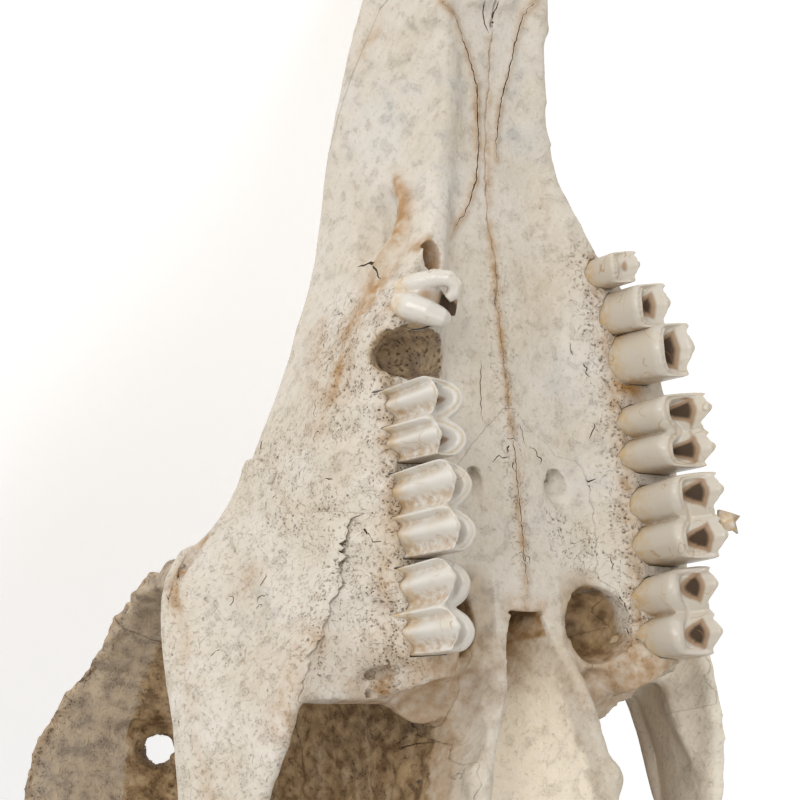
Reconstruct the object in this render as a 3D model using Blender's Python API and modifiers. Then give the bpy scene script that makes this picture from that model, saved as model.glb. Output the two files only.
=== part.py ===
"""Skull of an adult southern reedbuck ram, upside down on its nose and its two horn tips.

Every form is drawn in the skull's own frame, in millimetres: x to the animal's right, y towards
the nose, z towards the crown, with the origin on the palate at the front edge of the choana, the
opening behind the palate. The skull is modelled whole, parted into its bones by thin cuts, turned
over, laid on the floor and scaled to metres.
"""
import math

import bmesh
import bpy
from mathutils import Matrix, Vector

# Driving dimensions, in millimetres and degrees
NOSE_TIP_Y = 146.0
JAW_FRONT_Y = 112.0
NASAL_TIP_Y = 119.0
OCCIPUT_Y = -116.0
ORBIT_CENTRE = (60.0, -13.0, 55.0)
ORBIT_RADII = (44.0, 27.0, 18.5)
ORBIT_TURN = (-25.0, -15.0, 0.0)
BROW_HOLE = (25.8, -12.7, 72.0)
BROW_HOLE_RADIUS = 2.9
BROW_HOLE_AXIS = (0.633, -0.167, -0.756)
HORN_BASE = (25.0, -55.0, 93.0)
HORN_LENGTH = 245.0
HORN_BASE_RADIUS = 17.0
HORN_TIP_RADIUS = 2.6
HORN_RINGS = 12
HORN_SIDES = 14
ALVEOLUS_Z = -5.0
ROOT_DEPTH = 14.0
BONE_GAP = 0.3
FLAT_DEPTH = 0.5

# Fineness of the solids
VOXEL = 1.15
BONE_TRIANGLES = 6500
RING_STEP = 4.0

BONE_COLOUR = (0.72, 0.65, 0.55)
ROOF_COLOUR = (0.42, 0.34, 0.22)
HORN_COLOUR = (0.06, 0.045, 0.035)

# Profiles of the face, as (y, height or half width) from the snout back
ROOF_Z = ((119, 22.5), (108, 25), (90, 30.5), (78, 34), (58, 38.5), (40, 45), (20, 55), (5, 64.5),
          (-10, 71.5), (-25, 77), (-40, 82), (-60, 85))
PALATE_Z = ((112, -5), (96, -3), (80, -1), (66, 0), (-14, 0))
RIDGE_X = ((112, 10), (96, 9.3), (89, 8.8), (79, 10), (70, 12), (62, 14.5), (50, 17), (35, 19), (-14, 21))
RIDGE_Z = ((112, -6), (90, -4), (76, -2.5), (64, -4.5), (55, -5), (-8, -5), (-14, -3))
CHEEK_X = ((112, 12.5), (96, 11.3), (89, 11), (79, 12.5), (70, 15), (63, 18), (55, 24), (45, 29.5),
           (35, 31.2), (7, 32), (-8, 31), (-14, 27))
LOWER_WALL_X = ((112, 12.2), (96, 13.4), (79, 15), (66, 18.5), (55, 24), (45, 29.5), (35, 33),
                (22, 35.5), (10, 37), (-14, 36))
MID_WALL_X = ((112, 11), (103, 13.5), (90, 16.3), (78, 17.5), (66, 18.7), (58, 20.7), (49, 24),
              (40, 28), (30, 32.5), (20, 38.5), (13, 44.5), (6, 46.5), (-6, 49.3))
MID_WALL_Z = ((112, 15), (90, 20), (78, 23.5), (58, 27.5), (40, 29.5), (30, 31), (20, 34), (13, 38.5),
              (-6, 36))
SHOULDER_X = ((112, 7), (90, 10.5), (60, 13), (40, 15), (27, 18), (19, 28), (13, 42), (7, 43),
              (-6, 47.5))
SHOULDER_Z = ((112, 21), (90, 27), (60, 34), (40, 40.5), (27, 46), (15, 48), (7, 60.5), (-6, 71.5))

# Upper rim of the right orbit, and the walls of the choana
RIM_X = ((15, 42), (7, 43), (2, 43.2), (-4, 46.6), (-15, 52.4), (-25, 54.2), (-33, 53.5), (-41, 50),
         (-50, 40), (-62, 33))
RIM_Z = ((15, 46), (7, 61), (2, 66), (-4, 71.5), (-15, 74.7), (-25, 76.3), (-33, 76), (-41, 74),
         (-50, 76), (-62, 76))
CHOANA_X = ((0, 3.6), (-5, 4.8), (-14, 7.8), (-22, 10.3), (-30, 12.3), (-46, 12))
PTERYGOID_Z = ((0, 0.5), (-5, -0.5), (-14, -3), (-22, -2.5), (-32, -2), (-40, 3), (-46, 12))

# Cheekbone: its upper rim, under the eye, and its sharp lower keel
CHEEK_RIM_X = ((18, 40), (7, 47), (-6, 49.5), (-13, 50.2), (-24, 51.7), (-30, 52.3), (-52, 51), (-66, 48))
CHEEK_RIM_Z = ((18, 36), (7, 38), (-6, 35.5), (-13, 33.7), (-30, 32.2), (-40, 32), (-52, 28), (-66, 27))
KEEL_X = ((18, 33), (7, 37), (-2, 40.7), (-13, 45.6), (-24, 48.4), (-30, 49.2), (-52, 49.5), (-66, 47))
KEEL_Z = ((18, 7), (7, 3), (-2, 3), (-13, 5), (-24, 9), (-30, 11.5), (-40, 16), (-52, 19), (-66, 20))

# Braincase: its roof, half width, the height of its widest place, and its base
CASE_ROOF_Z = ((-36, 80), (-60, 84), (-72, 81), (-84, 75), (-96, 66), (-108, 55), (-116, 43))
CASE_X = ((-36, 15), (-48, 23), (-60, 29.5), (-74, 32.5), (-90, 32.5), (-103, 35), (-112, 33), (-116, 26))
CASE_MIDDLE_Z = ((-36, 52), (-60, 52), (-84, 46), (-100, 38), (-116, 33))
CASE_BASE_Z = ((-36, 21), (-60, 18), (-84, 15), (-108, 13), (-116, 16))

# Premaxilla, the toothless bone of the nose tip
NOSE_INSIDE_X = ((146, 2.8), (140, 2.6), (132, 5.2), (122, 8), (112, 9.4), (100, 10))
NOSE_OUTSIDE_X = ((146, 7.4), (140, 11), (132, 12.6), (122, 13), (112, 12.8), (100, 13.6))
NOSE_LOW_Z = ((146, -7.8), (140, -8.6), (132, -8.2), (122, -7.2), (112, -6), (100, -4.5))
NOSE_HIGH_Z = ((146, -4.8), (140, -4), (132, -2.4), (122, 3.5), (112, 12), (100, 17.5))

# Cheek teeth of one side: name, place along the jaw, length, width, crown height, lobes, middle x
TEETH = (
    ("second_premolar", 57.6, 6.4, 5.4, 5.6, 1, 18.0),
    ("third_premolar", 50.6, 8.0, 7.0, 8.0, 1, 20.8),
    ("fourth_premolar", 42.8, 9.4, 8.6, 10.6, 1, 23.6),
    ("first_molar", 29.3, 14.2, 9.6, 11.2, 2, 24.9),
    ("second_molar", 14.0, 15.8, 9.8, 10.4, 2, 25.4),
    ("third_molar", -1.9, 15.4, 9.6, 8.6, 2, 25.0),
)
LOST_ON_RIGHT = ("second_premolar", "fourth_premolar")

# Regions of the bones, as (y, low x, high x, low z, high z) from front to back, right side.
# They are taken in this order, so that each holds only what those before it left.
HALF_GAP = BONE_GAP / 2
NASAL_REACH = ((121, 10), (100, 10), (88, 11), (60, 13), (30, 14), (14, 10), (6, 2.5))
NOSE_SUTURE = ((110.5, -16.0), (108.5, 4.0), (106.0, 10.0), (96.0, 16.0), (84.0, 22.0), (77.6, 26.5),
               (74.0, 44.0))
CHEEKBONE_REGION = (
    (30.0, 30.5, 75.0, 27.0, 31.0), (26.0, 30.5, 75.0, 15.0, 36.0), (22.0, 31.0, 75.0, 7.0, 38.5),
    (14.0, 33.0, 75.0, 3.2, 40.0), (4.0, 33.5, 75.0, 1.0, 42.0), (-12.0, 36.0, 75.0, -3.0, 44.0),
    (-34.0, 38.0, 75.0, -3.0, 46.0), (-52.0, 38.0, 75.0, -3.0, 46.0),
)
FOREHEAD_REGION = (
    (15.0, -80.0, 80.0, 64.0, 130.0), (6.0, -80.0, 80.0, 57.5, 130.0), (-6.0, -80.0, 80.0, 50.0, 130.0),
    (-16.0, -80.0, 80.0, 46.3, 130.0), (-46.0, -80.0, 80.0, 46.3, 130.0),
    (-58.0, -80.0, 80.0, 66.0, 130.0), (-68.0, -80.0, 80.0, 79.0, 130.0),
)
LACRIMAL_REGION = (
    (27.0, 21.0, 75.0, 43.0, 48.0), (18.0, 21.0, 75.0, 39.0, 58.0), (6.0, 20.0, 75.0, 39.0, 70.0),
    (-8.0, 19.0, 75.0, 41.0, 70.0),
)
PALATE_REGION = (
    (37.0, -8.5, 8.5, -9.0, 3.2), (24.0, -11.5, 11.5, -9.0, 3.2), (18.0, -14.3, 14.3, -9.0, 3.4),
    (3.0, -9.5, 9.5, -9.0, 3.6), (-1.0, -9.5, 9.5, -9.0, 8.0), (-6.0, -14.0, 14.0, -9.0, 18.7),
    (-50.0, -17.5, 17.5, -9.0, 18.7),
)
JAW_REGION = (
    (115.0, HALF_GAP, 80.0, -20.0, 66.0), (1.0, HALF_GAP, 80.0, -20.0, 66.0),
    (-4.0, HALF_GAP, 36.0, -20.0, 18.7), (-19.0, HALF_GAP, 36.0, -20.0, 18.7),
)


def start_clean():
    """Empty the file and make one collection for the skull and one for its cutters."""
    for old in list(bpy.data.objects):
        bpy.data.objects.remove(old, do_unlink=True)
    found = []
    for name in ("reedbuck_skull", "cutters"):
        collection = bpy.data.collections.new(name)
        bpy.context.scene.collection.children.link(collection)
        found.append(collection)
    return found


def along(knots, y):
    """Value at y on the smooth line through knots of (y, value), listed from front to back."""
    if y >= knots[0][0]:
        return knots[0][1]
    if y <= knots[-1][0]:
        return knots[-1][1]
    slopes = [(b[1] - a[1]) / (b[0] - a[0]) for a, b in zip(knots, knots[1:])]
    tangents = [slopes[0]]
    for before, after in zip(slopes, slopes[1:]):
        tangents.append(0.0 if before * after <= 0 else 2 * before * after / (before + after))
    tangents.append(slopes[-1])
    i = max(k for k in range(len(slopes)) if y <= knots[k][0])
    step = knots[i + 1][0] - knots[i][0]
    t = (y - knots[i][0]) / step
    start = knots[i][1] * (1 + 2 * t) * (1 - t) ** 2 + tangents[i] * step * t * (1 - t) ** 2
    end = knots[i + 1][1] * t * t * (3 - 2 * t) - tangents[i + 1] * step * t * t * (1 - t)
    return start + end


def steps(first, last, spacing):
    """Evenly spaced values from first to last."""
    count = max(1, round(abs(last - first) / spacing))
    return [first + (last - first) * i / count for i in range(count + 1)]


def new_object(name, bm, collection):
    """Turn a bmesh into an object, with its faces pointing outwards."""
    bmesh.ops.recalc_face_normals(bm, faces=bm.faces)
    mesh = bpy.data.meshes.new(name)
    bm.to_mesh(mesh)
    bm.free()
    piece = bpy.data.objects.new(name, mesh)
    collection.objects.link(piece)
    return piece


def loft(name, rings, collection):
    """Closed skin over rings of points, which all have the same count."""
    bm = bmesh.new()
    rows = [[bm.verts.new(point) for point in ring] for ring in rings]
    for row, following in zip(rows, rows[1:]):
        for k, vertex in enumerate(row):
            m = (k + 1) % len(row)
            bm.faces.new((vertex, row[m], following[m], following[k]))
    bm.faces.new(rows[0])
    bm.faces.new(rows[-1])
    return new_object(name, bm, collection)


def mirrored_section(half, y):
    """Ring at y from a right half outline that runs from the lower to the upper midline."""
    left = [(-x, y, z) for x, z in reversed(half) if x > 0]
    return [(x, y, z) for x, z in half] + left


def blob(name, centre, radii, collection, turn=(0.0, 0.0, 0.0)):
    """Ellipsoid with the given half axes, turned by degrees about x, then y, then z."""
    bm = bmesh.new()
    bmesh.ops.create_uvsphere(bm, u_segments=24, v_segments=16, radius=1.0)
    piece = new_object(name, bm, collection)
    spin = Matrix.Identity(4)
    for angle, axis in zip(turn, "XYZ"):
        spin = Matrix.Rotation(math.radians(angle), 4, axis) @ spin
    piece.data.transform(Matrix.Translation(centre) @ spin @ Matrix.Diagonal((*radii, 1.0)))
    return piece


def rod(name, points, radii, collection, flatten=1.0, sides=12):
    """Tapered bar along points; flatten squeezes it sideways to its path."""
    path = [Vector(point) for point in points]
    rings = []
    for i, point in enumerate(path):
        ahead = (path[min(i + 1, len(path) - 1)] - path[max(i - 1, 0)]).normalized()
        side = ahead.cross(Vector((0.0, 0.0, 1.0)))
        if side.length < 0.3:
            side = ahead.cross(Vector((0.0, 1.0, 0.0)))
        side.normalize()
        rise = side.cross(ahead)
        ring = []
        for k in range(sides):
            angle = 2 * math.pi * k / sides
            ring.append(point + side * math.cos(angle) * radii[i] * flatten
                        + rise * math.sin(angle) * radii[i])
        rings.append(ring)
    return loft(name, rings, collection)


def mirror_copy(piece, collection):
    """The same form on the animal's left."""
    bm = bmesh.new()
    bm.from_mesh(piece.data)
    for vertex in bm.verts:
        vertex.co.x = -vertex.co.x
    return new_object(piece.name + "_mirrored", bm, collection)


def apply_modifiers(piece):
    """Replace a piece's mesh by its evaluated one and drop its modifiers."""
    depsgraph = bpy.context.evaluated_depsgraph_get()
    mesh = bpy.data.meshes.new_from_object(piece.evaluated_get(depsgraph))
    piece.modifiers.clear()
    piece.data = mesh


def boolean(piece, other, operation):
    """Cut, join or meet a piece with another; the fine remeshed skull is too slow for EXACT."""
    modifier = piece.modifiers.new("boolean", "BOOLEAN")
    modifier.operation = operation
    modifier.solver = "MANIFOLD"
    modifier.object = other
    apply_modifiers(piece)


def join_all(pieces, name, collection):
    """Put many closed pieces in one mesh, as they overlap."""
    bm = bmesh.new()
    for piece in pieces:
        bm.from_mesh(piece.data)
        bpy.data.objects.remove(piece, do_unlink=True)
    mesh = bpy.data.meshes.new(name)
    bm.to_mesh(mesh)
    bm.free()
    whole = bpy.data.objects.new(name, mesh)
    collection.objects.link(whole)
    return whole


def largest_only(piece):
    """Keep the piece's largest closed surface, in triangles."""
    bm = bmesh.new()
    bm.from_mesh(piece.data)
    bmesh.ops.triangulate(bm, faces=bm.faces)
    unseen = set(bm.faces)
    groups = []
    while unseen:
        stack = [unseen.pop()]
        group = []
        while stack:
            face = stack.pop()
            group.append(face)
            for edge in face.edges:
                for near in edge.link_faces:
                    if near in unseen:
                        unseen.remove(near)
                        stack.append(near)
        groups.append(group)
    groups.sort(key=lambda faces: sum(face.calc_area() for face in faces), reverse=True)
    loose = [face for group in groups[1:] for face in group]
    bmesh.ops.delete(bm, geom=loose, context="FACES")
    strays = [vertex for vertex in bm.verts if not vertex.link_faces]
    bmesh.ops.delete(bm, geom=strays, context="VERTS")
    bm.to_mesh(piece.data)
    bm.free()


def face_block(collection):
    """Upper jaw, nasal roof and lacrimal region, solid from the snout to the orbits."""
    rings = []
    for y in steps(JAW_FRONT_Y, -9.0, RING_STEP):
        roof = along(ROOF_Z, y)
        ridge_x = along(RIDGE_X, y)
        ridge_z = along(RIDGE_Z, y)
        palate = along(PALATE_Z, y)
        shoulder_x = along(SHOULDER_X, y)
        shoulder_z = along(SHOULDER_Z, y)
        half = (
            (0.0, palate),
            (ridge_x * 0.72, palate - 0.1),
            (ridge_x, ridge_z),
            (along(CHEEK_X, y), ridge_z - 0.3),
            (along(LOWER_WALL_X, y), ridge_z + 11.0),
            (along(MID_WALL_X, y), along(MID_WALL_Z, y)),
            (shoulder_x, shoulder_z),
            (shoulder_x * 0.55, shoulder_z + (roof - shoulder_z) * 0.86),
            (0.0, roof),
        )
        rings.append(mirrored_section(half, y))
    return loft("face", rings, collection)


def frontal_shelf(collection):
    """Forehead with the roofs of both orbits, thin towards its rims."""
    rings = []
    for y in steps(14.0, -64.0, RING_STEP):
        roof = along(ROOF_Z, y)
        rim_x = along(RIM_X, y)
        rim_z = along(RIM_Z, y)
        middle = rim_z + (roof - rim_z) * 0.7
        half = (
            (0.0, roof - 14.0),
            (rim_x * 0.45, middle - 9.0),
            (rim_x * 0.85, rim_z - 4.5),
            (rim_x, rim_z - 4.0),
            (rim_x + 0.6, rim_z - 1.5),
            (rim_x * 0.9, rim_z + 0.6),
            (rim_x * 0.5, middle + 1.5),
            (0.0, roof),
        )
        rings.append(mirrored_section(half, y))
    return loft("forehead", rings, collection)


def inner_wall(collection):
    """Bone between the two orbits, down to the roof of the choana."""
    width = ((6, 16), (-12, 14.5), (-30, 14.5), (-45, 19), (-56, 24))
    rings = []
    for y in steps(6.0, -56.0, RING_STEP):
        half_width = along(width, y)
        roof = along(ROOF_Z, y)
        half = (
            (0.0, 19.0),
            (half_width * 0.8, 19.0),
            (half_width, 26.0),
            (half_width, 56.0),
            (half_width + 4.0, roof - 9.0),
            (0.0, roof - 4.0),
        )
        rings.append(mirrored_section(half, y))
    return loft("inner_wall", rings, collection)


def brain_dome(collection):
    """Domed case behind the orbits, dropping behind the horns to the back of the head."""
    rings = []
    for y in steps(-36.0, OCCIPUT_Y, RING_STEP):
        wide = along(CASE_X, y)
        high = along(CASE_ROOF_Z, y)
        middle = along(CASE_MIDDLE_Z, y)
        low = along(CASE_BASE_Z, y)
        half = (
            (0.0, low),
            (wide * 0.36, low),
            (wide * 0.74, low + 7.0),
            (wide * 0.97, low + (middle - low) * 0.6),
            (wide, middle),
            (wide * 0.9, middle + (high - middle) * 0.5),
            (wide * 0.6, middle + (high - middle) * 0.88),
            (0.0, high),
        )
        rings.append(mirrored_section(half, y))
    return loft("dome", rings, collection)


def cheekbone(collection):
    """Right cheekbone: a plate from the lower rim of the orbit to a sharp keel."""
    outer = ((0.0, 0.3), (0.12, 0.6), (0.5, 0.0), (0.88, 0.6), (1.0, 0.2))
    inner = ((0.98, -6.5), (0.82, -5.4), (0.5, -3.8), (0.15, -3.2), (0.02, -2.4))
    rings = []
    for y in steps(18.0, -66.0, RING_STEP):
        rim = Vector((along(CHEEK_RIM_X, y), along(CHEEK_RIM_Z, y)))
        keel = Vector((along(KEEL_X, y), along(KEEL_Z, y)))
        ring = []
        for share, shift in outer + inner:
            point = keel.lerp(rim, share)
            ring.append((point.x + shift, y, point.y))
        rings.append(ring)
    return loft("cheekbone", rings, collection)


def pterygoid_plate(collection):
    """Right wall of the choana: the upright plate of the palatine."""
    rings = []
    for y in steps(3.0, -46.0, RING_STEP):
        inner = along(CHOANA_X, y)
        low = along(PTERYGOID_Z, y)
        rings.append([
            (inner, y, low + 0.6),
            (inner + 1.4, y, low - 0.3),
            (inner + 3.0, y, low + 0.8),
            (max(inner + 4.5, 13.0), y, low + 12.0),
            (15.5, y, 26.0),
            (inner + 1.0, y, 26.0),
            (inner + 0.3, y, low + 12.0),
        ])
    return loft("pterygoid_plate", rings, collection)


def nasal_tips(collection):
    """Free ends of the two nasal bones over the nostril opening."""
    start = 100.0
    rings = []
    for y in steps(start, NASAL_TIP_Y, RING_STEP):
        roof = along(ROOF_Z, y)
        wide = 5.0 + 3.6 * (NASAL_TIP_Y - y) / (NASAL_TIP_Y - start)
        half = (
            (0.0, roof - 3.2),
            (wide * 0.7, roof - 4.4),
            (wide, roof - 5.6),
            (wide, roof - 4.0),
            (wide * 0.6, roof - 1.0),
            (0.0, roof),
        )
        rings.append(mirrored_section(half, y))
    return loft("nasal_tips", rings, collection)


def nose_bar(collection):
    """Right premaxilla in front of the jaw, flat and toothless, with its rising process."""
    rings = []
    for y in steps(NOSE_TIP_Y, 100.0, RING_STEP):
        x_in = along(NOSE_INSIDE_X, y)
        x_out = along(NOSE_OUTSIDE_X, y)
        low = along(NOSE_LOW_Z, y)
        high = along(NOSE_HIGH_Z, y)
        rings.append([
            (x_in, y, low + 0.5),
            ((x_in + x_out) / 2, y, low),
            (x_out - 0.5, y, low + 0.6),
            (x_out, y, (low + high) / 2),
            (x_out - 0.8, y, high),
            (x_in + 0.4, y, high),
            (x_in, y, (low + high) / 2),
        ])
    return loft("nose_bar", rings, collection)


def side_forms(collection):
    """Forms of the right side, each with a twin on the left."""
    return [
        cheekbone(collection),
        pterygoid_plate(collection),
        nose_bar(collection),
        rod("palatine_process", ((3.2, 136, -6.8), (2.6, 120, -6), (2.5, 104, -4)), (2.4, 2.2, 2.4),
            collection),
        rod("behind_orbit", ((51, -37, 28), (52.6, -40, 40), (53, -41, 54), (52, -38, 70), (48, -36, 76)),
            (4.6, 4.2, 4.2, 5.0, 5.0), collection),
        rod("arch_root", ((49, -56, 24), (46, -70, 24.5), (40, -80, 26), (30, -88, 28)),
            (4.2, 5.0, 6.0, 8.0), collection),
        blob("jaw_hinge", (36, -79, 23), (10, 8, 4.5), collection),
        blob("ear_bulla", (18.5, -90, 11), (6.5, 11, 9.5), collection),
        rod("ear_tube", ((24, -94, 20), (34, -96, 27), (37.5, -97, 30)), (5.0, 4.5, 3.6), collection),
        rod("paroccipital", ((27, -105, 26), (26.5, -108, 12), (25.5, -109, 0), (24.5, -107, -11)),
            (7.5, 6.0, 4.0, 1.8), collection, flatten=0.6),
        blob("condyle", (12.5, -115, 20), (10, 8.5, 8.5), collection, turn=(20, 25, -15)),
        rod("nuchal_crest", ((0, -112, 53), (14, -112, 52), (26, -109, 46), (33, -104, 36)),
            (4.0, 4.0, 3.6, 3.0), collection),
        blob("tuberosity", (24, -6, 2), (8.5, 10, 8.5), collection),
        blob("inner_tuberosity", (17.5, -7, 8.5), (9, 10.5, 6.5), collection),
        rod("horn_root", ((19, -45, 76), (24, -53, 90), (27.2, -58.5, 99)), (17, 14.5, 14), collection),
        rod("hamulus", ((12.5, -28, 6), (13.5, -34, 0), (14.2, -38, -2.4)), (3.2, 2.6, 1.8), collection),
    ]


def side_cutters(collection):
    """Hollows of the right side, each with a twin on the left."""
    hole = Vector(BROW_HOLE)
    reach = Vector(BROW_HOLE_AXIS) * 16.0
    hole_radii = (BROW_HOLE_RADIUS, BROW_HOLE_RADIUS)
    return [
        blob("orbit_cut", ORBIT_CENTRE, ORBIT_RADII, collection, ORBIT_TURN),
        rod("ethmoid_slit_cut", ((17.5, 30, 53), (19.5, 22, 58), (20, 12, 64)), (1.2, 2.0, 1.2),
            collection),
        rod("brow_hole_cut", (hole - reach, hole + reach), hole_radii, collection, sides=16),
        rod("infraorbital_cut", ((21.5, 77, 11), (17.5, 66, 9.5), (13, 57, 9)), (3.4, 3.0, 1.6),
            collection),
        rod("palate_foramen_cut", ((9.6, 18.5, -3), (9, 22.5, 0.6), (8.6, 26, 4)), (2.6, 1.7, 1.2),
            collection),
        rod("palate_notch_cut", ((14.4, 7, -2.5), (14.6, 0, -3.5), (15.2, -16, -4.5)), (3.4, 5.6, 6.4),
            collection),
    ]


def single_cutters(collection):
    """Hollows that have no twin: two empty sockets of the right jaw and the spinal opening."""
    return [
        blob("second_socket_cut", (18.4, 58.5, -5), (2.6, 3.4, 6), collection),
        blob("fourth_socket_cut", (24.2, 43.4, -6), (6, 5.9, 9), collection),
        blob("spinal_opening_cut", (0, -119, 27), (9.5, 16, 8.5), collection),
    ]


def choana_cutter(collection):
    """Air passage that opens behind the palate and runs forward above it."""
    rings = []
    for y in steps(30.0, 0.4, 6.0) + steps(0.0, -60.0, 5.0):
        closed = y > 0
        inner = 4.2 + y * 0.06 if closed else along(CHOANA_X, y)
        low = 3.0 if closed else -14.0
        high = 18.0 if closed else 20.5
        half = ((0.0, low), (inner, low), (inner, 8.0), (inner * 0.9, high - 3.5), (0.0, high))
        rings.append(mirrored_section(half, y))
    return loft("choana_cut", rings, collection)


def nostril_cutter(collection):
    """Nasal passage from the snout, open above the premaxillae and under the nasal tips."""
    wide_at = ((124, 8.2), (112, 8.2), (96, 9.5), (66, 8.0))
    low_at = ((124, -2.5), (112, -2.0), (90, 1.0), (66, 4.0))
    rings = []
    for y in steps(124.0, 66.0, 5.0):
        roof = along(ROOF_Z, y)
        wide = along(wide_at, y)
        low = along(low_at, y)
        half = ((0.0, low), (wide, low + 0.5), (wide + 1.0, low + 9.0), (wide * 0.8, roof - 6.4),
                (0.0, roof - 4.4))
        rings.append(mirrored_section(half, y))
    return loft("nostril_cut", rings, collection)


def tooth(name, side, centre_y, length, width, height, lobes, middle_x, collection):
    """Upper cheek tooth: ribbed outer wall, rounded inner lobes and a hollowed grinding face."""
    count = 10 if lobes == 2 else 8
    outline = []
    for k in range(count):
        u = k / (count - 1)
        rib = 0.90 + 0.10 * abs(math.cos(math.pi * u * lobes))
        outline.append((0.5 * width * rib, (u - 0.5) * length))
    for k in range(count):
        u = 1 - (k + 0.5) / count
        lobe = abs(math.sin(math.pi * u * lobes)) ** 0.6
        outline.append((-0.5 * width * (0.62 + 0.38 * lobe), (u - 0.5) * length * 0.9))
    top = ALVEOLUS_Z - height
    levels = (
        (ALVEOLUS_Z + ROOT_DEPTH, 0.72, 0.0, 0.0),
        (ALVEOLUS_Z - 0.5, 1.0, 0.0, 0.0),
        (ALVEOLUS_Z - height * 0.6, 0.97, 0.0, 0.6),
        (top, 0.86, 1.5, 1.0),
        (top + 2.6, 0.42, 0.0, 0.8),
    )
    rings = []
    for z, scale, cusp_height, lean in levels:
        ring = []
        for x, y in outline:
            cusp = cusp_height * abs(math.sin(math.pi * (y / length + 0.5) * lobes))
            outer = 0.8 if x > 0 and cusp_height else 0.0
            ring.append((side * (middle_x + lean + x * scale), centre_y + y * scale, z - cusp - outer))
        rings.append(ring)
    return loft(name, rings, collection)


def horn(name, side, collection, grow=0.0):
    """Horn sheath: rings that fade towards a smooth tip, which hooks forward."""
    count = HORN_RINGS * 4
    spacing = HORN_LENGTH / count
    place = Vector((HORN_BASE[0] * side, HORN_BASE[1], HORN_BASE[2]))
    rings = []
    for i in range(count + 1):
        share = i / count
        lean = math.radians(146 - 96 * share ** 1.35)
        splay = math.radians(24 + 6 * math.sin(math.pi * share) - 34 * share ** 3)
        ahead = Vector((math.sin(splay) * side, math.cos(splay) * math.cos(lean),
                        math.cos(splay) * math.sin(lean)))
        across = ahead.cross(Vector((side, 0.0, 0.0))).normalized()
        out = across.cross(ahead).normalized()
        ridge = 0.9 * max(0.0, 1 - share / 0.72) if i % 4 == 2 else 0.0
        radius = HORN_BASE_RADIUS * (1 - share) ** 0.8 + HORN_TIP_RADIUS * share + ridge + grow
        start = place - ahead * grow if i == 0 else place
        ring = []
        for k in range(HORN_SIDES):
            angle = 2 * math.pi * k / HORN_SIDES
            ring.append(start + out * math.cos(angle) * radius * 0.93 + across * math.sin(angle) * radius)
        rings.append(ring)
        place = place + ahead * spacing
    return loft(name, rings, collection)


def band(name, stations, collection, grow=0.0):
    """Box-like region along the skull from stations of (y, low x, high x, low z, high z)."""
    rings = []
    for i, (y, x0, x1, z0, z1) in enumerate(stations):
        ahead = grow if i == 0 else -grow if i == len(stations) - 1 else 0.0
        rings.append([
            (x0 - grow, y + ahead, z0 - grow),
            (x1 + grow, y + ahead, z0 - grow),
            (x1 + grow, y + ahead, z1 + grow),
            (x0 - grow, y + ahead, z1 + grow),
        ])
    return loft(name, rings, collection)


def nasal_region():
    """Right nasal bone: the roof of the snout beside the midline."""
    return [(y, HALF_GAP, along(NASAL_REACH, y), along(ROOF_Z, y) - 7.0, along(ROOF_Z, y) + 6.0)
            for y in steps(121.0, 6.0, 9.0)]


def nose_region(name, side, collection, grow=0.0):
    """Premaxilla: all that lies in front of its long slanting suture with the jaw."""
    outline = [(NOSE_TIP_Y + 6.0, 44.0), (NOSE_TIP_Y + 6.0, -16.0)]
    outline += [(y - grow, z - grow * 0.5) for y, z in NOSE_SUTURE]
    rings = [[(side * x, y, z) for y, z in outline] for x in (HALF_GAP - grow, 60.0)]
    return loft(name, rings, collection)


def mirrored_stations(stations):
    """The same region on the animal's left."""
    return [(y, -x1, -x0, z0, z1) for y, x0, x1, z0, z1 in stations]


def take(whole, name, region, grown, collection):
    """Move the part of the whole inside a region to a node of its own, a thin gap away."""
    piece = bpy.data.objects.new(name, whole.data.copy())
    collection.objects.link(piece)
    boolean(piece, region, "INTERSECT")
    largest_only(piece)
    boolean(whole, grown, "DIFFERENCE")
    for used in (region, grown):
        bpy.data.objects.remove(used, do_unlink=True)
    return piece


def take_band(whole, name, stations, model, cutters):
    """Take the bone inside a region given by its stations."""
    region = band(name + "_region", stations, cutters)
    grown = band(name + "_grown", stations, cutters, BONE_GAP)
    return take(whole, name, region, grown, model)


def take_pair(whole, base, stations, bones, model, cutters):
    """Take a bone of the right side and its twin of the left."""
    for side, rows in (("right", stations), ("left", mirrored_stations(stations))):
        name = base + "_" + side
        bones[name] = take_band(whole, name, rows, model, cutters)


def divide(whole, model, cutters):
    """Part the whole skull into its bones, along plain forms of their sutures."""
    bones = {}
    take_pair(whole, "nasal", nasal_region(), bones, model, cutters)
    for side, label in ((1, "right"), (-1, "left")):
        name = "premaxilla_" + label
        region = nose_region(name + "_region", side, cutters)
        grown = nose_region(name + "_grown", side, cutters, BONE_GAP)
        bones[name] = take(whole, name, region, grown, model)
    take_pair(whole, "zygomatic", CHEEKBONE_REGION, bones, model, cutters)
    bones["frontal"] = take_band(whole, "frontal", FOREHEAD_REGION, model, cutters)
    take_pair(whole, "lacrimal", LACRIMAL_REGION, bones, model, cutters)
    bones["palatine"] = take_band(whole, "palatine", PALATE_REGION, model, cutters)
    take_pair(whole, "maxilla", JAW_REGION, bones, model, cutters)
    largest_only(whole)
    whole.name = "braincase"
    bones["braincase"] = whole
    return bones


def plant_teeth(bones, cutters):
    """Fuse each cheek tooth to its jaw with its root sunk in."""
    for side, jaw in ((1, "maxilla_right"), (-1, "maxilla_left")):
        for label, centre_y, length, width, height, lobes, middle_x in TEETH:
            if side == 1 and label in LOST_ON_RIGHT:
                continue
            crown = tooth(label, side, centre_y, length, width, height, lobes, middle_x, cutters)
            boolean(bones[jaw], crown, "UNION")
            bpy.data.objects.remove(crown, do_unlink=True)
        largest_only(bones[jaw])


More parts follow.
